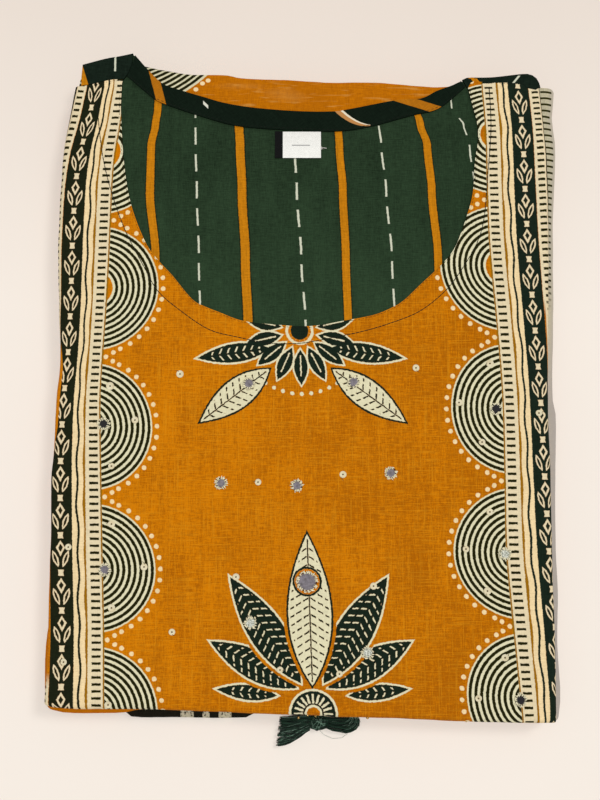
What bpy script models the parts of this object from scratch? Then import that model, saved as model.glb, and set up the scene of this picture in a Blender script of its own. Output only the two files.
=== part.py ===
"""A printed cotton kurta set with its dupatta, folded for the shelf and lying flat. The kurta's front
is on top, its back panel shows through the neck, and the folded rest of the set lies below it.
Sizes are in millimetres: x runs across the pack, y up it towards the shoulders, z up from the surface."""

import math

import bpy
from mathutils import Vector
from mathutils.geometry import delaunay_2d_cdt

MM = 0.001
WALL = 1.2  # the cloth's wall
GAP = 0.3  # between pieces
MIDDLE = (1.82, 0.53)  # middle of the box of the tables below, moved to the origin

# Heights above the surface
FRONT_Z = 22.1  # middle of the front panel's wall, and of all that lies level with it
BACK_Z = 20.6  # middle of the back panel's wall
LIP = 3.6  # radius of the front's rolled sides, at the middle of its wall
LIP_INSET = LIP + WALL / 2  # where the flat part ends, inside the outline
TUCK = 10.0  # how far the front turns in below
BACK_INSET = 4.8

# Edges of the pack. Left and right: y, x.
LEFT = ((223, -151.2), (205, -154.8), (182, -158.3), (165, -161.2), (139, -162.6), (100, -163.5),
        (56, -162.0), (22, -160.1), (-6, -162.0), (-39, -162.7), (-56, -163.9), (-92, -163.2),
        (-134, -163.4), (-169, -163.4), (-199, -164.4))
RIGHT = ((213, 158.0), (206, 160.0), (177, 159.2), (137, 160.2), (100, 162.2), (40, 160.9),
         (-6, 159.6), (-55, 160.9), (-105, 160.1), (-160, 159.9), (-212, 159.5))
RIGHT_UNDER = ((211, 163.0), (207, 169.0), (202, 170.2), (185, 168.7), (173, 170.1), (160, 170.4),
               (110, 167.3), (52, 166.0), (-5, 163.8), (-16, 165.5), (-72, 163.9), (-112, 163.4),
               (-132, 163.9), (-161, 162.7), (-194, 163.7), (-213, 161.6))
# Bottom and top: x, y.
BOTTOM = ((-165, -199.5), (-160.6, -201.4), (-144, -202.9), (-127, -202.9), (-92, -203.2),
          (-63, -204.3), (-31, -205.7), (7, -206.9), (35, -208.1), (62, -208.8), (102, -210.6),
          (136, -211.5), (162, -211.5))
TOP = ((-152, 218.0), (-134, 222.0), (-116, 223.0), (-104.6, 220.8), (-99, 219.4), (-76.6, 215.8),
       (-52, 215.0), (-43, 213.0), (-6.6, 211.6), (18, 210.1), (49, 210.1), (72, 208.0),
       (91, 206.6), (107, 208.0), (118, 209.0), (145, 211.0), (156, 208.5), (171, 206.0))
KURTA = dict(left=LEFT, bottom=BOTTOM, right=RIGHT, top=TOP)
KURTA_UNDER = dict(left=LEFT, bottom=BOTTOM, right=RIGHT_UNDER, top=TOP)
TROUSERS = dict(
    left=((222, -150), (180, -157), (100, -162), (22, -159), (-56, -162), (-120, -162.5),
          (-150, -164.5), (-161, -166.3), (-188, -166.3), (-200, -165)),
    bottom=((-167, -203), (-157, -205.8), (-150, -206.8), (-130, -206.9), (-113, -206.2),
            (-104, -204.2), (-60, -204.8), (7, -207.2), (62, -209), (102, -210.6), (162, -211.4)),
    right=((209, 158), (150, 161.5), (50, 161), (-50, 161.5), (-150, 160.5), (-212, 159)),
    top=((-151, 217), (-100, 218), (-40, 211.8), (20, 209), (90, 205.5), (158, 207)))
DUPATTA = dict(
    left=((219, -149), (150, -159), (50, -160.5), (-50, -162), (-204, -162.5)),
    bottom=((-164, -203), (-119, -204.6), (-114, -210), (-80, -210.7), (-37, -210.7), (-32, -207.6),
            (20, -207.9), (60, -208.2), (162, -210.2)),
    right=((209, 159), (100, 162), (0, 161), (-100, 162), (-211, 161)),
    top=((-150, 213), (-100, 216), (-40, 210), (20, 207), (90, 203.5), (160, 205.5)))

# Folded lips, from the top down: outline, its top and bottom, and how far it stands back on each side.
# columns: outline, z_top, z_bottom, left, bottom, right, top
KURTA_LIPS = ((KURTA, 19.7, 17.9, 4.8, 4.8, 4.8, 0.0), (KURTA, 17.6, 15.8, 5.0, 4.9, 5.1, 1.6),
              (KURTA_UNDER, 13.9, 12.0, 0.8, 0.4, 0.0, 1.2))
TROUSER_LIPS = ((TROUSERS, 11.7, 10.0, 0.7, 0.0, 0.6, 0.6), (TROUSERS, 9.8, 8.1, 0.0, 0.9, 0.0, 0.0),
                (TROUSERS, 7.9, 6.3, 1.0, 0.5, 1.2, 1.4))
DUPATTA_LIPS = ((DUPATTA, 6.0, 4.1, 0.8, 0.6, 0.4, 0.0), (DUPATTA, 3.9, 2.1, 0.0, 0.0, 0.9, 0.8),
                (DUPATTA, 1.9, 0.0, 1.2, 0.9, 0.0, 0.3))
SLOT = 15.5  # depth of the slot in the kurta's layers that the front's tuck fills
CREVICE = 3.0  # depth of the crevice between two lips

# Neck and shoulders: x, y.
NECKLINE = ((-122.4, 207.6), (-122.7, 196), (-122.6, 186), (-120, 153), (-114.8, 124.5),
            (-105.1, 99.3), (-96.2, 86.5), (-86.9, 76.4), (-73.5, 60.3), (-64.9, 55.3),
            (-55.7, 51.6), (-40.5, 45.9), (-22.2, 43.6), (3.4, 42.3), (26.4, 45.9), (45.4, 49.6),
            (57.3, 54.3), (65.9, 59.6), (77.8, 71), (91.9, 84.5), (100.7, 96.6), (109, 119),
            (112.6, 133.4), (114.3, 154), (116.6, 168), (116.3, 180), (113.1, 193.6), (110.6, 204.8))
SEAM_LEFT = ((-121.8, 210.7), (-130.5, 210.4), (-144.6, 206.9), (-148.6, 206.2))
SEAM_RIGHT = ((151.1, 208.3), (136.9, 209), (117.4, 210.1), (112.6, 208.6))
FOLD_LEFT = ((-149.2, 220.6), (-133.7, 224.9), (-124.3, 226.6), (-115.2, 228.6))
FOLD_RIGHT = ((107.4, 210.0), (111, 211.5), (117.6, 211.5), (128.4, 211.8), (144.6, 213.7),
              (151, 214.1), (155, 212.6), (156.6, 209.6))
NECK_EDGE = ((-113.8, 228), (-105.1, 217.8), (-94.9, 207.9), (-80.6, 202.7), (-67.8, 198.8),
             (-53.6, 194.6), (-32.8, 191.1), (-2.5, 188.7), (20.4, 188.6), (31.8, 190.4),
             (63.5, 196.7), (78.9, 197.6), (89.8, 203), (99.3, 206.5), (106.1, 209.8))
FACING_EDGE = ((108.8, 205.6), (90.9, 190.8), (72.7, 185.9), (42.4, 177.6), (20.3, 174.8),
               (-2.5, 175.5), (-19.9, 176.2), (-46.7, 179), (-73, 186.6), (-94.6, 194.3),
               (-102, 198.5), (-119, 213.2))
FLAP_LEFT_EDGE = ((-120.3, 213.9), (-122.2, 211.1))
FLAP_FOLD = 0.75  # radius of the shoulder fold, at the middle of the wall

SIZE_LABEL = ((-14.0, 156.4), (11.5, 156.4), (11.6, 174.6), (-14.0, 174.9))
NECK_LABEL = ((-19.3, 156.4), (-14.4, 156.4), (-14.4, 175.0), (-19.3, 175.4))

# Sewn-on mirrors. columns: x, y, radius
MIRRORS = ((-35.7, 4.3, 2.7), (32.4, 5.3, 2.7), (-53.4, -60.3, 2.7), (-4.4, -61.9, 2.7),
           (56.1, -53.9, 2.7), (2.0, -122.9, 5.2), (-33.9, -148.8, 2.7), (40.2, -167.2, 2.7),
           (-129.8, -22.2, 2.7), (-127.1, -115.4, 2.7), (124.7, -12.4, 2.7), (128.5, -105.5, 2.7),
           (136.3, -196.3, 2.7))
MIRROR_THICK = 0.8

# The tassel at the dupatta's corner: its bound head, and one bunch of threads from each end.
HEAD = dict(x=(3.0, 15.6), y=(-219.4, -208.6), z=(0.6, 6.6))
# columns: side of the head, threads across, threads high, end x and y at the low and high corner,
# end heights, sideways sag
BUNCHES = ((-1, 11, 4, (-17.2, -228.6), (-14.8, -211.0), (0.9, 4.2), -1.0),
           (1, 8, 4, (30.5, -220.2), (35.6, -212.6), (0.9, 4.4), 0.8))
THREAD = 0.5  # a thread's side
PER_SIDE = 15  # points along each side of the pack
PER_CORNER = 3


def curve(table, at):
    """The value of a two-column table at this place, as a smooth curve through its rows."""
    rows = sorted(table)
    at = min(max(at, rows[0][0]), rows[-1][0])
    k = max(i for i in range(len(rows) - 1) if rows[i][0] <= at)

    def slope(i):
        a, b = rows[max(i - 1, 0)], rows[min(i + 1, len(rows) - 1)]
        return (b[1] - a[1]) / (b[0] - a[0])

    (x0, y0), (x1, y1) = rows[k], rows[k + 1]
    h = x1 - x0
    t = (at - x0) / h
    return ((2 * t**3 - 3 * t**2 + 1) * y0 + (t**3 - 2 * t**2 + t) * h * slope(k)
            + (3 * t**2 - 2 * t**3) * y1 + (t**3 - t**2) * h * slope(k + 1))


def path_round(sides, insets, corner=4.0, open_top=None):
    """Points round an outline, counter-clockwise from its top left corner. insets are how far each
    side stands in: left, bottom, right, top. With open_top, a pair of heights, the path starts
    at the first on the left side and ends at the second on the right."""
    left, bottom, right, top = insets
    xs = {"left": lambda y: curve(sides["left"], y) + left,
          "right": lambda y: curve(sides["right"], y) - right}
    ys = {"bottom": lambda x: curve(sides["bottom"], x) + bottom,
          "top": lambda x: curve(sides["top"], x) - top}

    def corner_of(side, end):
        x, y = 0.0, 0.0
        for _ in range(12):
            x = xs[side](y)
            y = ys[end](x)
        return x, y

    lower_left, lower_right = corner_of("left", "bottom"), corner_of("right", "bottom")
    inside = max(corner - max(left, 0.0), 0.8)
    if open_top:
        upper_left, upper_right = (0, open_top[0]), (0, open_top[1])
        top_cut = 0.0
    else:
        upper_left, upper_right = corner_of("left", "top"), corner_of("right", "top")
        top_cut = inside

    def steps(a, b, n=PER_SIDE):
        return [a + (b - a) * i / (n - 1) for i in range(n)]

    def rounded(a, c, b):
        found = []
        for i in range(1, PER_CORNER + 1):
            t = i / (PER_CORNER + 1)
            w = ((1 - t) ** 2, 2 * t * (1 - t), t * t)
            found.append(tuple(w[0] * a[j] + w[1] * c[j] + w[2] * b[j] for j in (0, 1)))
        return found

    down = [(xs["left"](y), y) for y in steps(upper_left[1] - top_cut, lower_left[1] + inside)]
    across = [(x, ys["bottom"](x)) for x in steps(lower_left[0] + inside, lower_right[0] - inside)]
    up = [(xs["right"](y), y) for y in steps(lower_right[1] + inside, upper_right[1] - top_cut)]
    path = down + rounded(down[-1], lower_left, across[0]) + across
    path += rounded(across[-1], lower_right, up[0]) + up
    if not open_top:
        back = [(x, ys["top"](x))
                for x in steps(upper_right[0] - inside, upper_left[0] + inside, 2 * PER_SIDE)]
        path += rounded(up[-1], upper_right, back[0]) + back
        path += rounded(back[-1], upper_left, down[0])
    return path


def material(name, colour, roughness=0.85, metallic=0.0):
    made = bpy.data.materials.new(name)
    made.use_nodes = True
    shader = made.node_tree.nodes["Principled BSDF"]
    shader.inputs["Base Color"].default_value = (*colour, 1)
    shader.inputs["Roughness"].default_value = roughness
    shader.inputs["Metallic"].default_value = metallic
    made.diffuse_color = (*colour, 1)
    return made


def add_node(name, points, faces, look, smooth=False):
    mesh = bpy.data.meshes.new(name)
    moved = [((x - MIDDLE[0]) * MM, (y - MIDDLE[1]) * MM, z * MM) for x, y, z in points]
    mesh.from_pydata(moved, [], faces)
    mesh.update()
    for face in mesh.polygons:
        face.use_smooth = smooth
    mesh.materials.append(look)
    made = bpy.data.objects.new(name, mesh)
    pack.objects.link(made)
    return made


class Sheet:
    """Cloth, as the middle of its wall with a direction at each point, thickened to both sides."""

    def __init__(self):
        self.points, self.normals, self.faces, self.known = [], [], [], {}

    def point(self, place, normal):
        key = tuple(round(v, 3) for v in place)
        if key not in self.known:
            self.known[key] = len(self.points)
            self.points.append(Vector(place))
            self.normals.append(Vector(normal).normalized())
        return self.known[key]

    def flat(self, outline, z, up=1, spacing=32.0):
        """A flat piece with this outline, filled with triangles on a loose grid of points."""
        inner = []
        low = [min(p[j] for p in outline) for j in (0, 1)]
        high = [max(p[j] for p in outline) for j in (0, 1)]
        for i in range(int((high[0] - low[0]) / spacing)):
            for j in range(int((high[1] - low[1]) / spacing)):
                p = (low[0] + (i + 0.6) * spacing, low[1] + (j + 0.6) * spacing)
                if min(math.dist(p, q) for q in outline) > spacing * 0.45:
                    inner.append(p)
        given = [Vector(p) for p in list(outline) + inner]
        loop = list(range(len(outline)))
        made = delaunay_2d_cdt(given, [], [loop], 1, 1e-4)
        where = [self.point((v.x, v.y, z), (0, 0, up)) for v in made[0]]
        for face in made[2]:
            a, b, c = (made[0][i] for i in face[:3])
            turn = (b - a).x * (c - a).y - (b - a).y * (c - a).x
            ids = [where[i] for i in face]
            self.faces.append(ids if turn * up > 0 else ids[::-1])

    def band(self, rows):
        """Faces between rows of (place, normal) that run the same way."""
        ids = [[self.point(*p) for p in row] for row in rows]
        for one, two in zip(ids, ids[1:]):
            for i in range(len(one) - 1):
                self.faces.append([one[i], two[i], two[i + 1], one[i + 1]])

    def solid(self, wall=WALL):
        half = wall / 2
        count = len(self.points)
        points = [p + n * half for p, n in zip(self.points, self.normals)]
        points += [p - n * half for p, n in zip(self.points, self.normals)]
        faces = list(self.faces) + [[i + count for i in f[::-1]] for f in self.faces]
        edges = {(f[i], f[(i + 1) % len(f)]) for f in self.faces for i in range(len(f))}
        for a, b in sorted(edges):
            if (b, a) not in edges:
                faces.append([b, a, a + count, b + count])
        return points, faces


def outward(path, i):
    """The direction out of the pack at point i of a path that runs counter-clockwise."""
    a, b = Vector(path[max(i - 1, 0)]), Vector(path[min(i + 1, len(path) - 1)])
    along = (b - a).normalized()
    return along.y, -along.x


def front_panel():
    """The front: flat on top, rolled down and turned in along both sides and the bottom."""
    sheet = Sheet()
    ends = (206.2, 207.2)

    def path(inset):
        return path_round(KURTA, (inset,) * 4, open_top=ends)

    flat = path(LIP_INSET)
    sheet.flat(flat + list(SEAM_RIGHT) + list(NECKLINE[::-1]) + list(SEAM_LEFT[:3]), FRONT_Z)
    rows = []
    for step in range(7):
        angle = math.pi * step / 6
        line = path(LIP_INSET - LIP * math.sin(angle))
        z = FRONT_Z - LIP + LIP * math.cos(angle)
        row = []
        for i, (x, y) in enumerate(line):
            ox, oy = outward(flat, i)
            row.append(((x, y, z), (ox * math.sin(angle), oy * math.sin(angle), math.cos(angle))))
        rows.append(row)
    rows.append([((x, y, FRONT_Z - 2 * LIP), (0, 0, -1)) for x, y in path(LIP_INSET + TUCK)])
    rows[0] = [((x, y, FRONT_Z), (0, 0, 1)) for x, y in flat]
    sheet.band(rows)
    return sheet


def back_panel():
    """The back: wrong side up below the neck, brought over both shoulders to the seams."""
    sheet = Sheet()
    sides = path_round(KURTA, (BACK_INSET,) * 4, open_top=(205.0, 202.0))
    right = list(FOLD_RIGHT[::-1])
    sheet.flat(sides + right + list(NECK_EDGE[::-1]) + list(FOLD_LEFT[::-1]), BACK_Z, up=-1)
    flaps = (
        (right, [(107.4, 210.0), (109.9, 206.2), (112.0, 208.9), (117.4, 210.4 + 0.05),
                 (136.9, 209.35), (151.1, 208.65), (156.0, 207.6)]),
        (list(FOLD_LEFT[::-1]), [FOLD_LEFT[0], (-149.8, 206.5), (-144.6, 207.3), (-130.5, 210.8),
                                 *FLAP_LEFT_EDGE[::-1]]),
    )
    for fold, seam in flaps:
        rows = []
        for step in range(7):
            angle = math.pi * step / 6
            out = FLAP_FOLD * math.sin(angle)
            z = BACK_Z + FLAP_FOLD - FLAP_FOLD * math.cos(angle)
            row = []
            for i, (x, y) in enumerate(fold):
                ox, oy = outward(fold, i)
                normal = (ox * math.sin(angle), oy * math.sin(angle), -math.cos(angle))
                row.append(((x + ox * out, y + oy * out, z), normal))
            rows.append(row)
        rows[-1] = [((x, y, FRONT_Z), (0, 0, 1)) for x, y in fold]
        rows[0] = [((x, y, BACK_Z), (0, 0, -1)) for x, y in fold]
        sheet.band(rows[::-1])
        rest = [p for p in seam if p not in fold]
        sheet.flat(list(fold) + rest, FRONT_Z)
    return sheet


def flat_piece(outline, z_middle=FRONT_Z):
    sheet = Sheet()
    sheet.flat(outline, z_middle)
    return sheet


def folded_stack(lips):
    """Hidden layers as one solid: a rounded lip for each fold, with crevices between them."""
    rings = []

    def ring(sides, stand, extra, z):
        insets = [s + e for s, e in zip(stand, extra)]
        rings.append([(x, y, z) for x, y in path_round(sides, insets)])

    for k, (sides, z_top, z_bottom, *stand) in enumerate(lips):
        thick = z_top - z_bottom
        for inset, z in ((0.45, z_top), (0.0, z_top - 0.3 * thick), (0.0, z_bottom + 0.3 * thick),
                         (0.45, z_bottom)):
            ring(sides, stand, [inset * thick] * 4, z)
        if k + 1 < len(lips):
            below = lips[k + 1][1]
            if z_bottom - below > 1.0:  # room for the front's tuck
                deep = [SLOT - s for s in stand[:3]] + [CREVICE]
                ring(sides, stand, deep, z_bottom)
                ring(KURTA, stand, deep, below)
            else:
                ring(sides, stand, [CREVICE] * 4, (z_bottom + below) / 2)
    count = len(rings[0])
    points = [p for r in rings for p in r]
    faces = [list(range(count))]
    for k in range(len(rings) - 1):
        for i in range(count):
            j = (i + 1) % count
            faces.append([k * count + i, (k + 1) * count + i, (k + 1) * count + j, k * count + j])
    faces.append([(len(rings) - 1) * count + i for i in reversed(range(count))])
    return points, faces


def disc(x, y, radius, low, high, sides=16):
    turn = [2 * math.pi * i / sides for i in range(sides)]
    points = [(x + radius * math.cos(a), y + radius * math.sin(a), z) for z in (low, high) for a in turn]
    faces = [list(reversed(range(sides))), list(range(sides, 2 * sides))]
    faces += [[i, (i + 1) % sides, sides + (i + 1) % sides, sides + i] for i in range(sides)]
    return points, faces


def tassel():
    """The head is a block. Each end is a grid of cells, and a thread grows out of every cell."""
    points, faces, known = [], [], {}

    def point(place):
        key = tuple(round(v, 4) for v in place)
        if key not in known:
            known[key] = len(points)
            points.append(place)
        return known[key]

    def quad(places, flip):
        ids = [point(p) for p in places]
        faces.append(ids[::-1] if flip else ids)

    (x0, x1), (y0, y1), (z0, z1) = HEAD["x"], HEAD["y"], HEAD["z"]
    edge = {-1: x0, 1: x1}
    for side, across, high, low_end, high_end, heights, sag in BUNCHES:
        flip = side < 0
        x = edge[side]
        for i in range(across):
            for j in range(high):
                cell = [(y0 + (y1 - y0) * (i + a) / across, z0 + (z1 - z0) * (j + b) / high)
                        for a, b in ((0, 0), (1, 0), (1, 1), (0, 1))]
                cy, cz = sum(p[0] for p in cell) / 4, sum(p[1] for p in cell) / 4
                square = [(-1, -1), (1, -1), (1, 1), (-1, 1)]
                u, v = i / (across - 1), j / (high - 1)
                end = (low_end[0] + (high_end[0] - low_end[0]) * u + (0.7 - 1.1 * ((i * 3 + j) % 4)) * 0.5,
                       low_end[1] + (high_end[1] - low_end[1]) * u,
                       heights[0] + (heights[1] - heights[0]) * v)
                rows = []
                for s in (0.0, 0.33, 0.68, 1.0):
                    ease = s**1.25
                    cx = x + (end[0] - x) * s
                    my = cy + (end[1] - cy) * ease + sag * math.sin(math.pi * s) * 0.5
                    mz = cz + (end[2] - cz) * ease
                    rows.append([(cx, my + a * THREAD / 2, mz + b * THREAD / 2) for a, b in square])
                outer = [(x, *p) for p in cell]
                for one, two in zip([outer] + rows, rows):
                    for k in range(4):
                        n = (k + 1) % 4
                        quad([one[k], one[n], two[n], two[k]], flip)
                quad(rows[-1], flip)
    # Round the head: the long sides, joined to the cells' corners.
    rims = {}
    for side, across, high, *_ in BUNCHES:
        x = edge[side]
        walk = [(y0 + (y1 - y0) * i / across, z0) for i in range(across)]
        walk += [(y1, z0 + (z1 - z0) * j / high) for j in range(high)]
        walk += [(y1 - (y1 - y0) * i / across, z1) for i in range(across)]
        walk += [(y0, z1 - (z1 - z0) * j / high) for j in range(high)]
        rims[side] = [(x, *p) for p in walk]
    middle = (x0 + x1) / 2
    ring = [(middle, y0 - 0.1, z0 - 0.15), (middle, y1 + 0.1, z0 - 0.15), (middle, y1 + 0.1, z1 + 0.5),
            (middle, y0 - 0.1, z1 + 0.5)]
    for side, across, high, *_ in BUNCHES:
        rim, flip = rims[side], side < 0
        starts = [0, across, across + high, 2 * across + high, len(rim)]
        for k in range(4):
            part = [rim[i % len(rim)] for i in range(starts[k], starts[k + 1] + 1)]
            a, b = ring[k], ring[(k + 1) % 4]
            half = len(part) // 2
            for i in range(len(part) - 1):
                quad([a if i < half else b, part[i + 1], part[i]], flip)
                if i == half:
                    quad([a, b, part[i]], flip)
    return points, faces


for old in list(bpy.data.objects):
    bpy.data.objects.remove(old)
pack = bpy.data.collections.new("kurta set with dupatta")
bpy.context.scene.collection.children.link(pack)

ochre = material("ochre_cotton", (0.56, 0.19, 0.004))
green = material("dark_green_cotton", (0.02, 0.041, 0.02))
deep_green = material("deep_green_facing", (0.007, 0.012, 0.008))
white = material("white_label", (0.8, 0.78, 0.74))
black = material("black_label", (0.01, 0.01, 0.01))
under_ochre = material("ochre_under_layers", (0.46, 0.16, 0.006))
trouser_ochre = material("ochre_trousers", (0.5, 0.17, 0.006))
dark = material("dark_dupatta", (0.008, 0.011, 0.008))
thread = material("dark_green_thread", (0.01, 0.026, 0.012))
glass = material("mirror_glass", (0.85, 0.86, 0.86), 0.08, 1.0)

add_node("kurta_front", *front_panel().solid(), ochre)
add_node("kurta_back", *back_panel().solid(), green)
add_node("back_neck_facing", *flat_piece(list(NECK_EDGE) + list(FACING_EDGE)).solid(), deep_green)
add_node("size_label", *flat_piece(SIZE_LABEL, 22.0).solid(1.0), white)
add_node("neck_label", *flat_piece(NECK_LABEL, 22.0).solid(1.0), black)
add_node("kurta_folded_layers", *folded_stack(KURTA_LIPS), under_ochre)
add_node("trousers_fold", *folded_stack(TROUSER_LIPS), trouser_ochre)
add_node("dupatta_fold", *folded_stack(DUPATTA_LIPS), dark)
add_node("dupatta_tassel", *tassel(), thread)
top_face = FRONT_Z + WALL / 2 + GAP
for number, (x, y, radius) in enumerate(MIRRORS, 1):
    add_node(f"mirror_{number:02d}", *disc(x, y, radius, top_face, top_face + MIRROR_THICK), glass)
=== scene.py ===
"""Looks of a printed cotton kurta set with its dupatta, folded and lying flat: cloth, prints, sewing,
mirrors, tassel, light and camera. Sizes in the tables are millimetres, as in the solids' own source."""

import math
import random

import bpy
import numpy as np
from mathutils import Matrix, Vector, noise
from mathutils.geometry import delaunay_2d_cdt


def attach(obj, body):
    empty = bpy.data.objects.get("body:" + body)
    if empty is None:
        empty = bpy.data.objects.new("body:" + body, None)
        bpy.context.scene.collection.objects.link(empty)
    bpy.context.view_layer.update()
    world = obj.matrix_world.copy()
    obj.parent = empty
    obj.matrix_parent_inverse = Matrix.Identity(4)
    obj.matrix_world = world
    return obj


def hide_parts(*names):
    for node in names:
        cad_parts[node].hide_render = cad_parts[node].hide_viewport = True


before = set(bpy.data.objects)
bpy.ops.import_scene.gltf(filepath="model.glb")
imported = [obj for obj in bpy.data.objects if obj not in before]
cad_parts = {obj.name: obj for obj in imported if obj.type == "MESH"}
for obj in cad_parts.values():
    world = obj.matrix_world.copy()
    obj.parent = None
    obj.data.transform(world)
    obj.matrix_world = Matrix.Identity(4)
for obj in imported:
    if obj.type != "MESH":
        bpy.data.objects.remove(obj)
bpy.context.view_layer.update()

MM = 0.001
MIDDLE = (1.82, 0.53)  # as in the solids' source
WALL = 0.7  # the cloth's wall here
FRONT_LIFT = 0.2  # of the front's middle here, above the solid's
OVER_PRINT, OVER_FROM = 400, 300.0  # the print of the folded-over shoulders lies so much further up
FRONT_Z, BACK_Z = 22.1, 20.6
LIP, LIP_INSET, TUCK, BACK_INSET = 3.6, 4.2, 10.0, 4.8

# Edges of the pack. Left and right: y, x. Bottom and top: x, y.
LEFT = ((223, -151.2), (205, -154.8), (182, -158.3), (165, -161.2), (139, -162.6), (100, -163.5),
        (56, -162.0), (22, -160.1), (-6, -162.0), (-39, -162.7), (-56, -163.9), (-92, -163.2),
        (-134, -163.4), (-169, -163.4), (-199, -164.4))
RIGHT = ((213, 158.0), (206, 160.0), (177, 159.2), (137, 160.2), (100, 162.2), (40, 160.9),
         (-6, 159.6), (-55, 160.9), (-105, 160.1), (-160, 159.9), (-212, 159.5))
RIGHT_UNDER = ((214, 163.0), (210, 168.6), (204, 170.4), (185, 168.7), (173, 170.1), (160, 170.4),
               (110, 167.3), (52, 166.0), (-5, 163.8), (-16, 165.5), (-72, 163.9), (-112, 163.4),
               (-132, 163.9), (-161, 162.7), (-194, 163.7), (-213, 161.6))
BOTTOM = ((-165, -199.5), (-160.6, -201.4), (-144, -202.9), (-127, -202.9), (-92, -203.2),
          (-63, -204.3), (-31, -205.7), (7, -206.9), (35, -208.1), (62, -208.8), (102, -210.6),
          (136, -211.5), (162, -211.5))
TOP = ((-152, 218.0), (-134, 222.0), (-116, 223.0), (-104.6, 220.8), (-99, 219.4), (-76.6, 215.8),
       (-52, 215.0), (-43, 213.0), (-6.6, 211.6), (18, 210.1), (49, 210.1), (72, 208.0),
       (91, 206.6), (107, 208.0), (118, 209.0), (145, 211.0), (156, 208.5), (171, 206.0))
RIGHT_FRONT = ((213, 157.3), (206, 159.6), (185, 161.6), (165, 162.9), (137, 163.7), (100, 163.2),
               (40, 161.4), (-6, 159.8), (-55, 160.2), (-105, 159.8), (-160, 160.2), (-212, 159.6))
KURTA = dict(left=LEFT, bottom=BOTTOM, right=RIGHT, top=TOP)
FRONT = dict(left=LEFT, bottom=BOTTOM, right=RIGHT_FRONT, top=TOP)
KURTA_UNDER = dict(left=LEFT, bottom=BOTTOM, right=RIGHT_UNDER,
                   top=TOP[:-2] + ((156, 210.6), (171, 209.2)))
TROUSERS = dict(
    left=((222, -150), (180, -157), (100, -162), (22, -159), (-56, -162), (-120, -162.5),
          (-150, -164.5), (-161, -166.3), (-188, -166.3), (-200, -165)),
    bottom=((-167, -203), (-157, -205.8), (-150, -206.8), (-130, -206.9), (-113, -206.2),
            (-104, -204.2), (-60, -204.8), (7, -207.2), (62, -209), (102, -210.6), (162, -211.4)),
    right=((209, 158), (150, 161.5), (50, 161), (-50, 161.5), (-150, 160.5), (-212, 159)),
    top=((-151, 217), (-100, 218), (-40, 211.8), (20, 209), (90, 205.5), (158, 207)))
DUPATTA = dict(
    left=((219, -149), (150, -159), (50, -160.5), (-50, -162), (-204, -162.5)),
    bottom=((-164, -203), (-119, -204.6), (-114, -210), (-80, -210.7), (-37, -210.7), (-32, -207.6),
            (20, -207.9), (60, -208.2), (162, -210.2)),
    right=((209, 159), (100, 162), (0, 161), (-100, 162), (-211, 161)),
    top=((-150, 213), (-100, 216), (-40, 210), (20, 207), (90, 203.5), (160, 205.5)))

# Folded lips seen here, from the top down.
# columns: outline, z_top, z_bottom, how far it stands back at the left, bottom, right and top
KURTA_LIPS = (
    (KURTA, 19.7, 18.4, 4.8, 4.8, 4.8, 0.0), (KURTA, 18.3, 17.1, 4.9, 4.9, 5.0, 0.9),
    (KURTA, 17.0, 15.8, 5.0, 4.9, 5.1, 1.8), (KURTA_UNDER, 13.9, 13.0, 0.8, 0.4, 0.0, 1.2),
    (KURTA_UNDER, 12.9, 12.0, 1.6, 1.3, 0.7, 2.2))
TROUSER_LIPS = (
    (TROUSERS, 11.7, 10.7, 1.0, 0.3, 0.8, 0.6), (TROUSERS, 10.6, 9.6, 0.0, 0.0, 0.0, 1.0),
    (TROUSERS, 9.5, 8.5, 0.6, 1.1, 0.7, 0.0), (TROUSERS, 8.4, 7.4, 0.1, 0.5, 0.2, 0.9),
    (TROUSERS, 7.3, 6.3, 1.2, 1.0, 1.3, 1.6))
DUPATTA_LIPS = (
    (DUPATTA, 6.0, 5.1, 1.0, 0.9, 0.5, 0.0), (DUPATTA, 5.0, 4.1, 0.2, 0.3, 1.1, 0.9),
    (DUPATTA, 4.0, 3.1, 0.6, 0.0, 0.2, 0.4), (DUPATTA, 3.0, 2.1, 0.0, 0.5, 0.9, 1.2),
    (DUPATTA, 2.0, 1.1, 0.9, 0.2, 0.0, 0.2), (DUPATTA, 1.0, 0.0, 1.3, 1.0, 0.6, 0.7))
SLOT, CREVICE = 15.5, 2.2

NECKLINE = ((-122.4, 207.6), (-122.7, 196), (-122.6, 186), (-120, 153), (-114.8, 124.5),
            (-105.1, 99.3), (-96.2, 86.5), (-86.9, 76.4), (-73.5, 60.3), (-64.9, 55.3),
            (-55.7, 51.6), (-40.5, 45.9), (-22.2, 43.6), (3.4, 42.3), (26.4, 45.9), (45.4, 49.6),
            (57.3, 54.3), (65.9, 59.6), (77.8, 71), (91.9, 84.5), (100.7, 96.6), (109, 119),
            (112.6, 133.4), (114.3, 154), (116.6, 168), (116.3, 180), (113.1, 193.6), (110.6, 204.8))
SEAM_LEFT = ((-121.8, 210.7), (-130.5, 210.4), (-144.6, 206.9), (-148.6, 206.2))
SEAM_RIGHT = ((151.1, 208.3), (136.9, 209), (117.4, 210.1), (112.6, 208.6))
FOLD_LEFT = ((-149.2, 220.6), (-133.7, 224.9), (-124.3, 226.6), (-115.2, 228.6))
FOLD_RIGHT = ((107.4, 210.0), (111, 211.5), (117.6, 211.5), (128.4, 211.8), (144.6, 213.7),
              (151, 214.1), (155, 212.6), (157.4, 209.6), (158.6, 205.4))
NECK_EDGE = ((-113.8, 228), (-105.1, 217.8), (-94.9, 207.9), (-80.6, 202.7), (-67.8, 198.8),
             (-53.6, 194.6), (-32.8, 191.1), (-2.5, 188.7), (20.4, 188.6), (31.8, 190.4),
             (63.5, 196.7), (78.9, 197.6), (89.8, 203), (99.3, 206.5), (106.1, 209.8))
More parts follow.
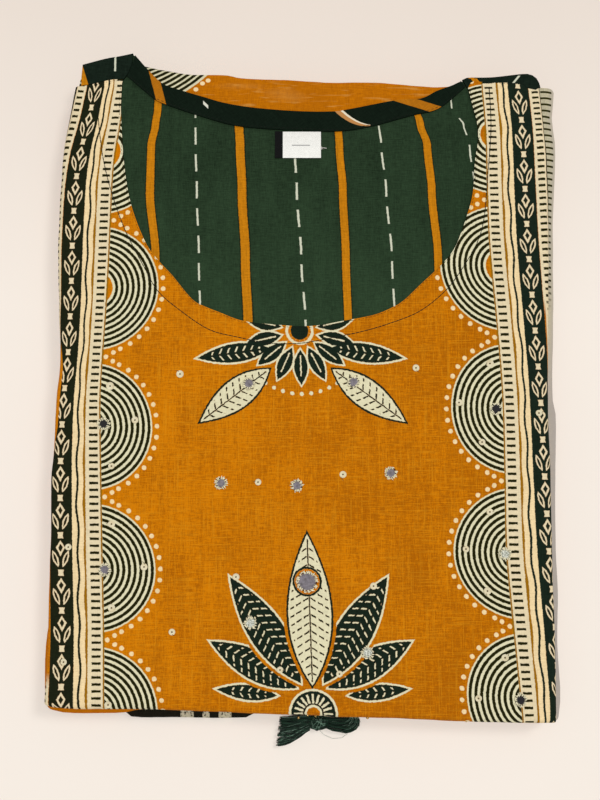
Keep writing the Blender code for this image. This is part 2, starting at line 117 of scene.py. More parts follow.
FACING_EDGE = ((108.8, 205.6), (90.9, 190.8), (72.7, 185.9), (42.4, 177.6), (20.3, 174.8),
               (-2.5, 175.5), (-19.9, 176.2), (-46.7, 179), (-73, 186.6), (-94.6, 194.3),
               (-102, 198.5), (-119, 213.2))
FLAP_FOLD = 0.75
TOPSTITCH = ((-139, 196), (-136.5, 172), (-133.3, 152.7), (-127.5, 131.3), (-118.4, 106.8),
             (-106.1, 83.1), (-95.9, 65.6), (-80.6, 52.3), (-62.1, 40.0), (-43.7, 35.0),
             (-22.1, 31.0), (-1.8, 31.0), (17.1, 34.3), (39.4, 39.0), (59.1, 45.0), (76.3, 52.3),
             (91.6, 64.3), (101.6, 76.4), (113.9, 96.6), (119.5, 114.3), (122.4, 141.6),
             (125.5, 176.9), (124.8, 206.0))
SIZE_LABEL = (-14.0, 11.5, 156.4, 174.7)
NECK_LABEL = (-19.3, -14.4, 156.4, 175.0)

# The printed borders of the front. columns: y, x of the half circles' straight side, x of the leaf
# chain's middle. Then the y of each half circle's middle, from the top.
BORDER_LEFT = ((205.5, -119.3, -140.0), (182, -122.5, -144.4), (158, -126, -149.6),
               (137, -127.4, -152.0), (99, -128.2, -153.1), (60, -129.4, -153.2),
               (22, -131.2, -154.2), (-6, -132.2, -156.2), (-42, -131.0, -157.2),
               (-105, -128.6, -155.6), (-153, -126.6, -153.4), (-200, -125.6, -153.1))
BORDER_RIGHT = ((205.5, 119.6, 144.1), (175, 121.5, 146.5), (136, 121.8, 147.3), (99, 122.4, 148.2),
                (40, 126.5, 151.6), (-6, 129.0, 154.0), (-55, 129.2, 155.3), (-105, 129.2, 157.2),
                (-153, 132.6, 160.0), (-178, 134.6, 161.1), (-198, 136.3, 161.9), (-211, 137.4, 161.3))
CIRCLES_LEFT = (159.6, 67.3, -23.5, -115.0, -203.7)
CIRCLES_RIGHT = (172.7, 82.0, -12.4, -105.5, -196.4)
CIRCLE_PITCH = 91.0
CHAIN = 24.2  # from the half circles' straight side to the chain's middle
# Bands of the border, outwards from the half circles' straight side: from, to.
LADDER, PEACH_LINE, DARK_LINE = (0.9, 9.5), (10.8, 17.8), (13.6, 14.9)
CHAIN_BAND, OUTER_LADDER = (17.4, 31.0), (31.2, 38.6)
RIM, RING_PITCH, DOT_RING = 41.3, 3.64, 44.4  # of the half circles: edge, rings, dots outside
RUNG_PITCH, OUTER_RUNG_PITCH, LEAF_PITCH = 4.42, 4.35, 24.0

# The printed lines of the back. columns: y, then x of each line, a row of dashes and a stripe in turn.
BACK_LINES = (
    (216, -127, -97, -73, -46, -7, 22, 49, 72, 97, 120, 141),
    (190, -129, -98, -73, -44.5, -6.5, 22.5, 49.5, 76, 99.8, 121, 142),
    (181, -130, -99.4, -72.8, -44, -6.3, 23, 50.4, 78.2, 107.5, 127, 149),
    (165, -132, -102.3, -72.5, -43, -6, 24, 52, 83, 111.4, 135, 160),
    (134, -134, -102.6, -71.3, -41.5, -4.5, 26.2, 55, 85.5, 114.5, 140, 168),
    (88, -129, -98.1, -69.5, -39, -1.5, 27.8, 58.4, 89, 118, 148, 178),
    (43, -126, -96, -68, -37, 1.4, 29, 60, 90, 121, 150, 180))
SHOULDER_LINES = (-127.2, -97, -73, -46, -7, 22, 49, 72, 92, 116.5, 141.5)  # on the folded-over part
LINE_PITCH = 30.5

# Sewn-on mirrors: x, y, radius. Sequins: x, y, radius.
MIRRORS = ((-35.7, 4.3, 2.7), (32.4, 5.3, 2.7), (-53.4, -60.3, 2.7), (-4.4, -61.9, 2.7),
           (56.1, -53.9, 2.7), (2.0, -122.9, 5.2), (-33.9, -148.8, 2.7), (40.2, -167.2, 2.7),
           (-129.8, -22.2, 2.7), (-127.1, -115.4, 2.7), (124.7, -12.4, 2.7), (128.5, -105.5, 2.7),
           (136.3, -196.3, 2.7))
SEQUINS = ((-80.7, 10.5, 1.5), (73.1, 14.5, 1.4), (-29.5, -59.7, 1.3), (25.2, -54.8, 1.4),
           (-83.6, -154.4, 1.3), (-43.3, -120, 1.4), (-15.1, -177.9, 1.3), (44.3, -125.7, 1.4),
           (22.4, -180.4, 1.3), (-126.1, 2.6, 1.6), (-109.5, -19.6, 1.4), (-124.1, -49.4, 1.3),
           (-123.3, -86.5, 1.4), (-102, -113.7, 1.4), (-122.2, -139.4, 1.5), (-150.6, -101.1, 1.3),
           (-151.8, -173, 1.3), (-123.2, -199.4, 1.4), (121.4, 17.4, 1.5), (100.8, -8.2, 1.4),
           (115.2, -33.9, 1.3), (119.4, -78.8, 1.4), (103.6, -102.4, 1.3), (116.8, -128.8, 1.5),
           (127, -170.3, 1.4), (109.8, -195.4, 1.3), (152.6, -15, 1.3))
ARC_DOTS = ((-72.9, 205.2), (-68.5, 209.4), (-64.7, 211.4))  # behind the neck
BEADS = ((2.5, -208.9), (-3.4, -210.6), (5.4, -207.9), (7.6, -209.4), (41.0, -210.6),
         (104.6, -212.4))  # gold, by the tassel

rng = random.Random(7)


# ---------------------------------------------------------------- shapes

def curve(table, at, column=1):
    """The value in a column of a table at this place, as a smooth curve through its rows."""
    rows = sorted(table)
    at = min(max(at, rows[0][0]), rows[-1][0])
    k = max(i for i in range(len(rows) - 1) if rows[i][0] <= at)

    def slope(i):
        a, b = rows[max(i - 1, 0)], rows[min(i + 1, len(rows) - 1)]
        return (b[column] - a[column]) / (b[0] - a[0])

    x0, x1 = rows[k][0], rows[k + 1][0]
    y0, y1 = rows[k][column], rows[k + 1][column]
    h = x1 - x0
    t = (at - x0) / h
    return ((2 * t**3 - 3 * t**2 + 1) * y0 + (t**3 - 2 * t**2 + t) * h * slope(k)
            + (3 * t**2 - 2 * t**3) * y1 + (t**3 - t**2) * h * slope(k + 1))


def smooth_line(points, step):
    """A smooth line through these points, in even steps."""
    dense = []
    count = len(points)
    for i in range(count - 1):
        p = [Vector(points[min(max(i + k, 0), count - 1)]) for k in (-1, 0, 1, 2)]
        for j in range(12):
            t = j / 12
            dense.append(0.5 * (2 * p[1] + (p[2] - p[0]) * t + (2 * p[0] - 5 * p[1] + 4 * p[2] - p[3])
                                * t**2 + (3 * p[1] - p[0] - 3 * p[2] + p[3]) * t**3))
    dense.append(Vector(points[-1]))
    lengths = np.cumsum([0] + [(b - a).length for a, b in zip(dense, dense[1:])])
    wanted = np.linspace(0, lengths[-1], max(2, int(lengths[-1] / step) + 1))
    xs = np.interp(wanted, lengths, [p[0] for p in dense])
    ys = np.interp(wanted, lengths, [p[1] for p in dense])
    return list(zip(xs.tolist(), ys.tolist()))


def wave(x, y, size, seed=0.0):
    """Smooth noise from -1 to 1 with bumps of about this size."""
    return noise.noise(Vector((x / size + seed * 7.3, y / size - seed * 3.1, seed)))


def path_round(sides, insets, corner=4.0, open_top=None, per_side=60, per_corner=5):
    """Points round an outline, counter-clockwise from its top left corner, as in the solids."""
    left, bottom, right, top = insets
    xs = {"left": lambda y: curve(sides["left"], y) + left,
          "right": lambda y: curve(sides["right"], y) - right}
    ys = {"bottom": lambda x: curve(sides["bottom"], x) + bottom,
          "top": lambda x: curve(sides["top"], x) - top}

    def corner_of(side, end):
        x, y = 0.0, 0.0
        for _ in range(12):
            x = xs[side](y)
            y = ys[end](x)
        return x, y

    lower_left, lower_right = corner_of("left", "bottom"), corner_of("right", "bottom")
    inside = max(corner - max(left, 0.0), 0.8)
    if open_top:
        upper_left, upper_right = (0, open_top[0]), (0, open_top[1])
        top_cut = 0.0
    else:
        upper_left, upper_right = corner_of("left", "top"), corner_of("right", "top")
        top_cut = inside

    def steps(a, b, n=per_side):
        return [a + (b - a) * i / (n - 1) for i in range(n)]

    def rounded(a, c, b):
        found = []
        for i in range(1, per_corner + 1):
            t = i / (per_corner + 1)
            w = ((1 - t) ** 2, 2 * t * (1 - t), t * t)
            found.append(tuple(w[0] * a[j] + w[1] * c[j] + w[2] * b[j] for j in (0, 1)))
        return found

    down = [(xs["left"](y), y) for y in steps(upper_left[1] - top_cut, lower_left[1] + inside)]
    across = [(x, ys["bottom"](x)) for x in steps(lower_left[0] + inside, lower_right[0] - inside)]
    up = [(xs["right"](y), y) for y in steps(lower_right[1] + inside, upper_right[1] - top_cut)]
    path = down + rounded(down[-1], lower_left, across[0]) + across
    path += rounded(across[-1], lower_right, up[0]) + up
    if not open_top:
        back = [(x, ys["top"](x))
                for x in steps(upper_right[0] - inside, upper_left[0] + inside, 2 * per_side)]
        path += rounded(up[-1], upper_right, back[0]) + back
        path += rounded(back[-1], upper_left, down[0])
    return path


def outward(path, i, closed=False):
    n = len(path)
    a = Vector(path[(i - 1) % n] if closed else path[max(i - 1, 0)])
    b = Vector(path[(i + 1) % n] if closed else path[min(i + 1, n - 1)])
    along = (b - a).normalized()
    return along.y, -along.x


neck_points = np.array(smooth_line(NECKLINE, 3.0))


def hollow(d, width):
    return math.exp(-(d / width) ** 2)


def front_relief(x, y):
    """How far the front's cloth stands above or below its flat middle."""
    z = 0.40 * wave(x, y, 70, 1) + 0.26 * wave(x, y, 26, 2) + 0.08 * wave(x, y, 10, 3)
    left_press = -96 - 0.02 * y + 1.5 * wave(0, y, 40, 4)
    right_press = 91 + 1.5 * wave(0, y, 45, 5)
    low = 0.5 - 0.5 * math.tanh((y - 10) / 25)
    z -= 0.42 * low * hollow(x - left_press, 2.2) - 0.22 * low * hollow(x - left_press - 5, 4)
    z -= 0.42 * low * hollow(x - right_press, 2.2) - 0.24 * low * hollow(x - right_press + 5, 4)
    z -= 0.22 * hollow(y + 88 + 2 * wave(x, 0, 60, 6), 2.4) * (0.5 + 0.5 * wave(x, y, 50, 7))
    near = float(np.min(np.hypot(neck_points[:, 0] - x, neck_points[:, 1] - y)))
    if near < 26:
        z += 0.10 * math.exp(-near / 9) * math.sin(0.62 * (x + 0.7 * y)) * wave(x, y, 22, 8) * 2
        z += 0.16 * math.exp(-near / 3.5)
        z -= 0.16 * hollow(near - 10.5, 1.6)
    edge = min(x - curve(LEFT, y) - LIP_INSET, curve(RIGHT, y) - LIP_INSET - x,
               y - curve(BOTTOM, x) - LIP_INSET)
    z -= 0.30 * math.exp(-max(edge, 0) / 7)
    return z


def back_relief(x, y):
    z = 0.22 * wave(x, y, 60, 11) + 0.12 * wave(x, y * 0.35, 16, 12)
    z += 0.10 * hollow(y - 150 - 0.25 * x, 5) - 0.12 * hollow(y - 118 + 0.12 * x, 3)
    return z * 0.8


def border_place(x, y):
    """Across and down the printed border nearest to this place: outwards from the straight side of
    the half circles, and down from the middle of the second one."""
    if x < 0:
        base, chain = curve(BORDER_LEFT, y, 1), curve(BORDER_LEFT, y, 2)
        s, width, rows = base - x, base - chain, CIRCLES_LEFT
    else:
        base, chain = curve(BORDER_RIGHT, y, 1), curve(BORDER_RIGHT, y, 2)
        s, width, rows = x - base, chain - base, CIRCLES_RIGHT
    if s > 0:
        s *= CHAIN / width
    pitch = (rows[0] - rows[-1]) / 4
    index = float(np.interp(-y, [-r for r in rows], range(5)))
    if y > rows[0]:
        index = (rows[0] - y) / pitch * (1.19 if x > 0 else 1.0)
    elif y < rows[-1]:
        index = 4 + (rows[-1] - y) / pitch
    return s, (index - 1) * CIRCLE_PITCH


def chain_place(x, y):
    first, pitch = (171.8, 23.73) if x < 0 else (187.0, 23.87)
    return x, (first - y) * LEAF_PITCH / pitch


def back_place(x, y):
    """Across the back's printed lines, and down them. The folded-over shoulders lie 400 further up."""
    if y > OVER_FROM:
        lines = SHOULDER_LINES
        if x > 0:
            x += (y - 609) * 0.8
    else:
        lines = back_lines(y)
    if x < lines[0]:
        return x - lines[0], y
    if x > lines[-1]:
        return (len(lines) - 1) * LINE_PITCH + x - lines[-1], y
    return float(np.interp(x, lines, range(len(lines)))) * LINE_PITCH, y


def back_lines(y):
    rows = sorted(BACK_LINES)
    at = min(max(y, rows[0][0]), rows[-1][0])
    k = max(i for i in range(len(rows) - 1) if rows[i][0] <= at)
    t = (at - rows[k][0]) / (rows[k + 1][0] - rows[k][0])
    t = t * t * (3 - 2 * t)
    return [a + (b - a) * t for a, b in zip(rows[k][1:], rows[k + 1][1:])]


def spot(place):
    """A key for a point: places this close together are one point."""
    return round(place[0], 2), round(place[1], 2), round(place[2], 1)


class Cloth:
    """Cloth as the middle of its wall, with its place on the unfolded print at each point."""

    def __init__(self):
        self.points, self.normals, self.prints, self.faces, self.known = [], [], [], [], {}

    def point(self, place, normal, printed):
        key = spot(place)
        if key not in self.known:
            self.known[key] = len(self.points)
            self.points.append(tuple(place))
            self.normals.append(Vector(normal).normalized())
            self.prints.append(printed)
        return self.known[key]

    def flat(self, outline, height, up=1, spacing=3.5, printed=lambda x, y: (x, y)):
        ring = np.array(outline)
        low, high = ring.min(0), ring.max(0)
        rise = spacing * 0.866
        grid = [(low[0] + (i + 0.5 * (j % 2)) * spacing, low[1] + j * rise)
                for j in range(int((high[1] - low[1]) / rise) + 1)
                for i in range(int((high[0] - low[0]) / spacing) + 1)]
        grid = np.array(grid)
        keep = np.ones(len(grid), bool)
        for part in np.array_split(ring, max(1, len(ring) // 40)):
            gap = np.hypot(grid[:, None, 0] - part[None, :, 0], grid[:, None, 1] - part[None, :, 1])
            keep &= gap.min(1) > spacing * 0.55
        given = [Vector(p) for p in outline] + [Vector(p) for p in grid[keep].tolist()]
        made = delaunay_2d_cdt(given, [], [list(range(len(outline)))], 1, 1e-4)
        where = []
        for v in made[0]:
            where.append(self.point((v.x, v.y, height(v.x, v.y)), (0, 0, up), printed(v.x, v.y)))
        for a, b, c in made[2]:
            p, q, r = made[0][a], made[0][b], made[0][c]
            turn = (q - p).x * (r - p).y - (q - p).y * (r - p).x
            ids = [where[a], where[b], where[c]]
            self.faces.append(ids if turn * up > 0 else ids[::-1])

    def band(self, rows, closed=False):
        ids = [[self.point(*p) for p in row] for row in rows]
        for one, two in zip(ids, ids[1:]):
            n = len(one)
            for i in range(n if closed else n - 1):
                j = (i + 1) % n
                self.faces.append([one[i], two[i], two[j], one[j]])

    def make(self, name, look, wall=WALL, maps=("cloth",), place=None):
        """The mesh, thickened to both sides, with its print places as UV maps in metres."""
        points = np.array(self.points)
        if wall:
            turn = np.array([tuple(n) for n in self.normals]) * wall / 2
            count = len(points)
            points = np.concatenate([points + turn, points - turn])
            faces = list(self.faces) + [[i + count for i in f[::-1]] for f in self.faces]
            edges = {(f[i], f[(i + 1) % len(f)]) for f in self.faces for i in range(len(f))}
            for a, b in sorted(edges):
                if (b, a) not in edges:
                    faces.append([b, a, a + count, b + count])
            prints = self.prints * 2
        else:
            faces, prints = self.faces, self.prints
        made = add_piece(name, points, faces, look)
        mesh = made.data
        loops = np.empty(len(mesh.loops), np.int64)
        mesh.loops.foreach_get("vertex_index", loops)
        for title in maps:
            found = {"cloth": lambda *p: p, "chain": chain_place}.get(title, place or border_place)
            values = [found(*p) for p in prints]
            layer = mesh.uv_layers.new(name=title)
            layer.uv.foreach_set("vector", (np.array(values)[loops] * MM).astype(np.float32).ravel())
        return made


def add_piece(name, points, faces, look, sharp=50):
    mesh = bpy.data.meshes.new(name)
    points = np.array(points, float)
    points = (points - np.array([MIDDLE[0], MIDDLE[1], 0])) * MM
    mesh.from_pydata(points.tolist(), [], [list(map(int, f)) for f in faces])
    mesh.update()
    mesh.polygons.foreach_set("use_smooth", [True] * len(mesh.polygons))
    mesh.set_sharp_from_angle(angle=math.radians(sharp))
    mesh.materials.append(look)
    made = bpy.data.objects.new(name, mesh)
    bpy.context.scene.collection.objects.link(made)
    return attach(made, "root")


# ---------------------------------------------------------------- shader numbers

class Number:
    """A value in a material's nodes, with arithmetic."""

    tree = None

    def __init__(self, socket):
        self.socket = socket

    def __add__(self, other):
        return calc("ADD", self, other)

    def __radd__(self, other):
        return calc("ADD", other, self)

    def __sub__(self, other):
        return calc("SUBTRACT", self, other)

    def __rsub__(self, other):
        return calc("SUBTRACT", other, self)

    def __mul__(self, other):
        return calc("MULTIPLY", self, other)

    def __rmul__(self, other):
        return calc("MULTIPLY", other, self)

    def __truediv__(self, other):
        return calc("DIVIDE", self, other)

    def __abs__(self):
        return calc("ABSOLUTE", self)


def feed(value, socket):
    if isinstance(value, Number):
        Number.tree.links.new(value.socket, socket)
    else:
        socket.default_value = value


def calc(kind, *values, clamp=False):
    node = Number.tree.nodes.new("ShaderNodeMath")
    node.operation = kind
    node.use_clamp = clamp
    for value, socket in zip(values, node.inputs):
        feed(value, socket)
    return Number(node.outputs[0])


def inside(depth, soft=0.14):
    """1 where depth, in millimetres, is above 0, with a soft edge."""
    return calc("MULTIPLY_ADD", depth, 0.5 / soft, 0.5, clamp=True)


def stripe(x, low, high, soft=0.14):
    return inside((high - low) / 2 - abs(x - (low + high) / 2), soft)


def most(*values):
    found = values[0]
    for value in values[1:]:
        found = calc("MAXIMUM", found, value)
    return found


def least(*values):
    found = values[0]
    for value in values[1:]:
        found = calc("MINIMUM", found, value)
    return found


def repeat(x, pitch):
    """x within the nearest repeat, from -pitch/2 to pitch/2."""
    return calc("FLOORED_MODULO", x + pitch / 2, pitch) - pitch / 2


def length(x, y):
    return calc("SQRT", x * x + y * y)


def turned(x, y, degrees):
    c, s = math.cos(math.radians(degrees)), math.sin(math.radians(degrees))
    return x * c + y * s, y * c - x * s


def parted(socket, scale=1000.0):
    """The three numbers of a vector in metres, times this."""
    split = Number.tree.nodes.new("ShaderNodeSeparateXYZ")
    Number.tree.links.new(socket, split.inputs[0])
    return [Number(out) * scale for out in split.outputs]


def places(name):
    """The two numbers of a UV map, in millimetres."""
    node = Number.tree.nodes.new("ShaderNodeUVMap")
    node.uv_map = name
    return parted(node.outputs[0])[:2]


def own_places(scale=1000.0):
    """The piece's own coordinates, in millimetres."""
    return parted(Number.tree.nodes.new("ShaderNodeTexCoord").outputs["Object"], scale)


def vector(x, y, z=0.0):
    node = Number.tree.nodes.new("ShaderNodeCombineXYZ")
    for value, socket in zip((x, y, z), node.inputs):
        feed(value, socket)
    return node.outputs[0]


def cloud(x, y, detail=2.0, seed=0.0):
    """Noise from 0 to 1 of these coordinates."""
    node = Number.tree.nodes.new("ShaderNodeTexNoise")
    node.inputs["Scale"].default_value = 1.0
    node.inputs["Detail"].default_value = detail
    Number.tree.links.new(vector(x, y, seed), node.inputs["Vector"])
    return Number(node.outputs["Fac"])


def blend(a, b, amount):
    """A colour between a and b. Each is a colour or a colour socket."""
    node = Number.tree.nodes.new("ShaderNodeMix")
    node.data_type = "RGBA"
    feed(amount, node.inputs[0])
    for value, socket in ((a, node.inputs[6]), (b, node.inputs[7])):
        if isinstance(value, tuple):
            socket.default_value = (*value, 1)
        else:
            Number.tree.links.new(value, socket)
    return node.outputs[2]


def shade(colour, amount):
    """A colour times a number."""
    node = Number.tree.nodes.new("ShaderNodeVectorMath")
    node.operation = "SCALE"
    if isinstance(colour, tuple):
        colour = blend(colour, colour, 0.0)
    Number.tree.links.new(colour, node.inputs[0])
    feed(amount, node.inputs["Scale"])
    return node.outputs[0]


def new_look(name, roughness=0.85, sheen=0.0, metallic=0.0, specular=0.035):
    look = bpy.data.materials.new(name)
    look.use_nodes = True
    Number.tree = look.node_tree
    shader = look.node_tree.nodes["Principled BSDF"]
    shader.inputs["Roughness"].default_value = roughness
    shader.inputs["Metallic"].default_value = metallic
    shader.inputs["Specular IOR Level"].default_value = specular
    shader.inputs["Sheen Weight"].default_value = sheen
    shader.inputs["Sheen Roughness"].default_value = 0.5
    return look, shader


def set_colour(shader, colour):
    Number.tree.links.new(colour, shader.inputs["Base Color"])


def set_bump(shader, height, depth_mm):
    node = Number.tree.nodes.new("ShaderNodeBump")
    node.inputs["Strength"].default_value = 1.0
    node.inputs["Distance"].default_value = depth_mm * MM
    feed(height, node.inputs["Height"])
    Number.tree.links.new(node.outputs[0], shader.inputs["Normal"])
    base = shader.inputs["Roughness"].default_value
    if not shader.inputs["Roughness"].is_linked:
        feed(calc("MULTIPLY_ADD", height, 0.09, base - 0.05, clamp=True), shader.inputs["Roughness"])


OCHRE, DEEP_OCHRE = (0.638, 0.199, 0.0010), (0.39, 0.11, 0.001)
DARK, OLIVE = (0.0088, 0.0175, 0.0105), (0.0150, 0.0142, 0.002)
CREAM, PEACH = (0.75, 0.71, 0.48), (0.87, 0.68, 0.385)
BACK_GREEN = (0.021, 0.0425, 0.0205)
PALE_OCHRE, BROWN_OCHRE = (0.76, 0.33, 0.012), (0.31, 0.135, 0.003)
WARM_CREAM, WARM_DARK = (0.78, 0.665, 0.435), (0.0135, 0.013, 0.003)


def weave(x, y, coarse=1.0):
    """Threads of uneven thickness: how much lighter or darker, about 0, and a height for bumps."""
    warp = cloud(x * 1.3, y * 0.2, 2.0, 1.0)
    weft = cloud(x * 0.17, y * 1.3, 2.0, 2.0)
    grain = cloud(x * 1.5, y * 1.5, 2.0, 12.0)
    streak = cloud(x * 0.25, y * 0.02, 2.0, 13.0)
    tone = (warp * 1.9 + weft * 2.1 + grain * 1.5 + streak * 1.0 - 3.25) * coarse
    fine = calc("SINE", x * 12.0) * calc("SINE", y * 12.0) * 0.12
    return tone, tone * 0.6 + fine


def border_print(s, t, c):
    """The printed border as (cream, peach, olive, dark) amounts. s runs outwards from the straight
    side of the half circles, t runs down, and c runs down with the leaf chain."""
    local = repeat(t, CIRCLE_PITCH)
    x = 7.85 - s
    r = length(x, local)
    inner = inside(s * -1.0)
    core = 11.2 - inside(t - 45.0, 2.0) * 3.6
    cream = inside(RIM - r) * inner * inside(r - core)
    olive = inside(1.0 - abs(repeat(r - 13.8, RING_PITCH))) * stripe(r, 12.6, 40.3) * inner
    olive = most(olive, stripe(r, 9.3, 11.2) * inner * inside(11.0 - core))
    # dots outside the rim, and three in each valley
    angle = calc("ARCTAN2", local, x)
    along = repeat(angle, 0.162) * DOT_RING
    dot = inside(1.5 - length(r - DOT_RING, along)) * inside((1.2 - abs(angle)) * 44) * inner
    off = CIRCLE_PITCH / 2 - abs(local)
    valley = inside(1.5 - least(length(s + 1.9, off), length(s + 6.6, off - 2.9)))
    # ladder, lines and the outer ladder
    waver = 0.5 * calc("SINE", t * 0.21) + 0.3 * calc("SINE", t * 0.083)
    cream = most(cream, stripe(s, *LADDER), stripe(s, *OUTER_LADDER))
    line = s + waver * 0.6
    peach = most(stripe(line, *PEACH_LINE) * inside(17.6 - s), dot, valley)
    rung = inside(0.82 - abs(repeat(t + 0.6, RUNG_PITCH))) * stripe(s, 2.0, 7.3)
    outer = inside(0.85 - abs(repeat(t + 0.1 * s, OUTER_RUNG_PITCH))) * stripe(s, 32.9, 37.4)
    olive = most(olive, rung, outer)
    # the leaf chain on its dark band
    a = abs(s - CHAIN)
    b = repeat(c - 12.9, LEAF_PITCH)
    square = inside(1.3 + abs(b + 8.5) * 0.22 - a) * inside(2.0 - abs(b + 8.5))
    d = b + 0.6
    reach = calc("LESS_THAN", d, 0.0) * (1 / 4.7) + calc("GREATER_THAN", d, 0.0) * (1 / 5.6)
    q = a / 2.7 + abs(d) * reach
    bud = inside((0.25 - abs(q - 0.75)) * 2.3)
    u, v = turned(a - 2.95, b - 6.6, 18)
    leaf = 1.6 - v * v * 0.05 - abs(u)
    outline = inside(0.46 - abs(leaf - 0.46)) * inside(5.6 - abs(v))
    motif = most(square, bud, outline)
    band = stripe(s, *CHAIN_BAND)
    dark = most(stripe(s + waver, *DARK_LINE), band * (1.0 - motif), inside(s - 38.7))
    return most(cream, band * motif), peach, olive, dark


def ribbed_petal(x, y, row, layers):
    """Paints one pointed petal over the design so far: a cream outline round a dark body with cream
    scallops, or a dark outline round a cream body with dark veins."""
    cream, dark = layers
    at, lean, size, wide, pale = row
    u, v = turned(x - at[0], y - at[1], -lean)
    w = calc("MULTIPLY", v, 1 / size, clamp=True)
    bulge = 4.0 * w * (1.0 - w) * (1.15 - 0.3 * w)
    depth = least(bulge * wide - abs(u), v * 0.6, (size - v) * 0.6) - 0.15
    clear = inside(depth + 2.0)
    edge = inside(depth) * inside(1.3 - depth)
    body = inside(depth - 1.3)
    scale = repeat(v + abs(u) * 0.6, 5.2)
    marks = inside(0.55 - abs(scale)) * inside(depth - 2.6) * inside(abs(repeat(u, 4.6)) - 0.7)
    if pale:
        veins = most(inside(0.4 - abs(u)), marks) * inside(depth - 2.6)
        cream = most(cream * (1.0 - clear), body * (1.0 - veins))
        dark = most(dark * (1.0 - clear), edge, body * veins)
    else:
        cream = most(cream * (1.0 - clear), edge, marks)
        dark = most(dark * (1.0 - clear), body * (1.0 - marks))
    return cream, dark


# A lotus in place of the flower at the bottom, and a half rosette with leaves under the neck.
# columns: foot, leaning outwards in degrees, length, half width, pale or not
LOTUS = (((20, -194), 84, 44, 6.0, False), ((8, -190), 62, 66, 10.5, False),
         ((6, -188), 33, 84, 12.5, False), ((0, -190), 0, 100, 15.0, True))
NECK_LEAVES = (((17, 28), 98, 54, 7.5, False), ((19, 15), 127, 62, 10.5, True))


def lotus_print(x, y):
    """The middle of the print, as (cream, dark, ochre) amounts, each on top of the last."""
    layers = (0.0 * x, 0.0 * x)
    across = abs(x)
    for row in LOTUS + NECK_LEAVES:
        layers = ribbed_petal(across, y, row, layers)
    cream, dark = layers
    r = length(x + 1.0, y + 122.9)
    halo = inside(9.4 - r) * inside(r - 8.0)
    ochre = inside(8.0 - r)
    dark = most(dark, halo)
    # a fan at the lotus's foot
    fy = y + 205
    r = length(x, fy)
    fan = inside(15.5 - r)
    spoke = inside(0.7 - abs(repeat(calc("ARCTAN2", x, fy), 0.3142)) * r) * stripe(r, 6.6, 12.4)
    lines = most(stripe(r, 14.0, 15.5), stripe(r, 4.2, 5.6), spoke)
    ochre = ochre * (1.0 - fan)
    cream = most(cream * (1.0 - fan), fan * lines)
    dark = most(dark * (1.0 - fan), stripe(r, 5.6, 14.0) * (1.0 - spoke))
    # the half rosette
    cy = 39.0 - y
    r = length(x, cy)
    angle = calc("ARCTAN2", x, cy)
    leafy = abs(repeat(angle, 0.4488)) * r
    depth = least(5.6 * calc("SINE", least(most(r - 10.5, 0.0), 27.0) * 0.1163) - leafy, 37.2 - r)
    lower = inside(cy + 12.0)
    ring = inside(depth) * lower
    clear = inside(12.0 - r)
    vein = inside(0.45 - leafy) * stripe(r, 16.0, 30.0)
    cream = most(cream * (1.0 - clear), ring * inside(1.2 - depth), stripe(r, 7.4, 9.2),
                 vein * inside(depth - 2.4))
    dark = most(dark * (1.0 - clear), ring * inside(depth - 1.2) * (1.0 - vein), inside(5.8 - r))
    seeds = inside(1.3 - length(r - 41.5, repeat(angle, 0.1496) * 41.5)) * stripe(angle, -0.75, 0.75, 0.004)
    cream = most(cream, seeds)
    return cream, dark, ochre


def wobbly(x, y, seed, fine_seed):
    """How far a printed edge strays, from a coarse and a fine noise."""
    return (cloud(x * 0.55, y * 0.55, 2.0, seed) - 0.5
            + (cloud(x * 1.5, y * 1.5, 1.0, fine_seed) - 0.5) * 0.45)


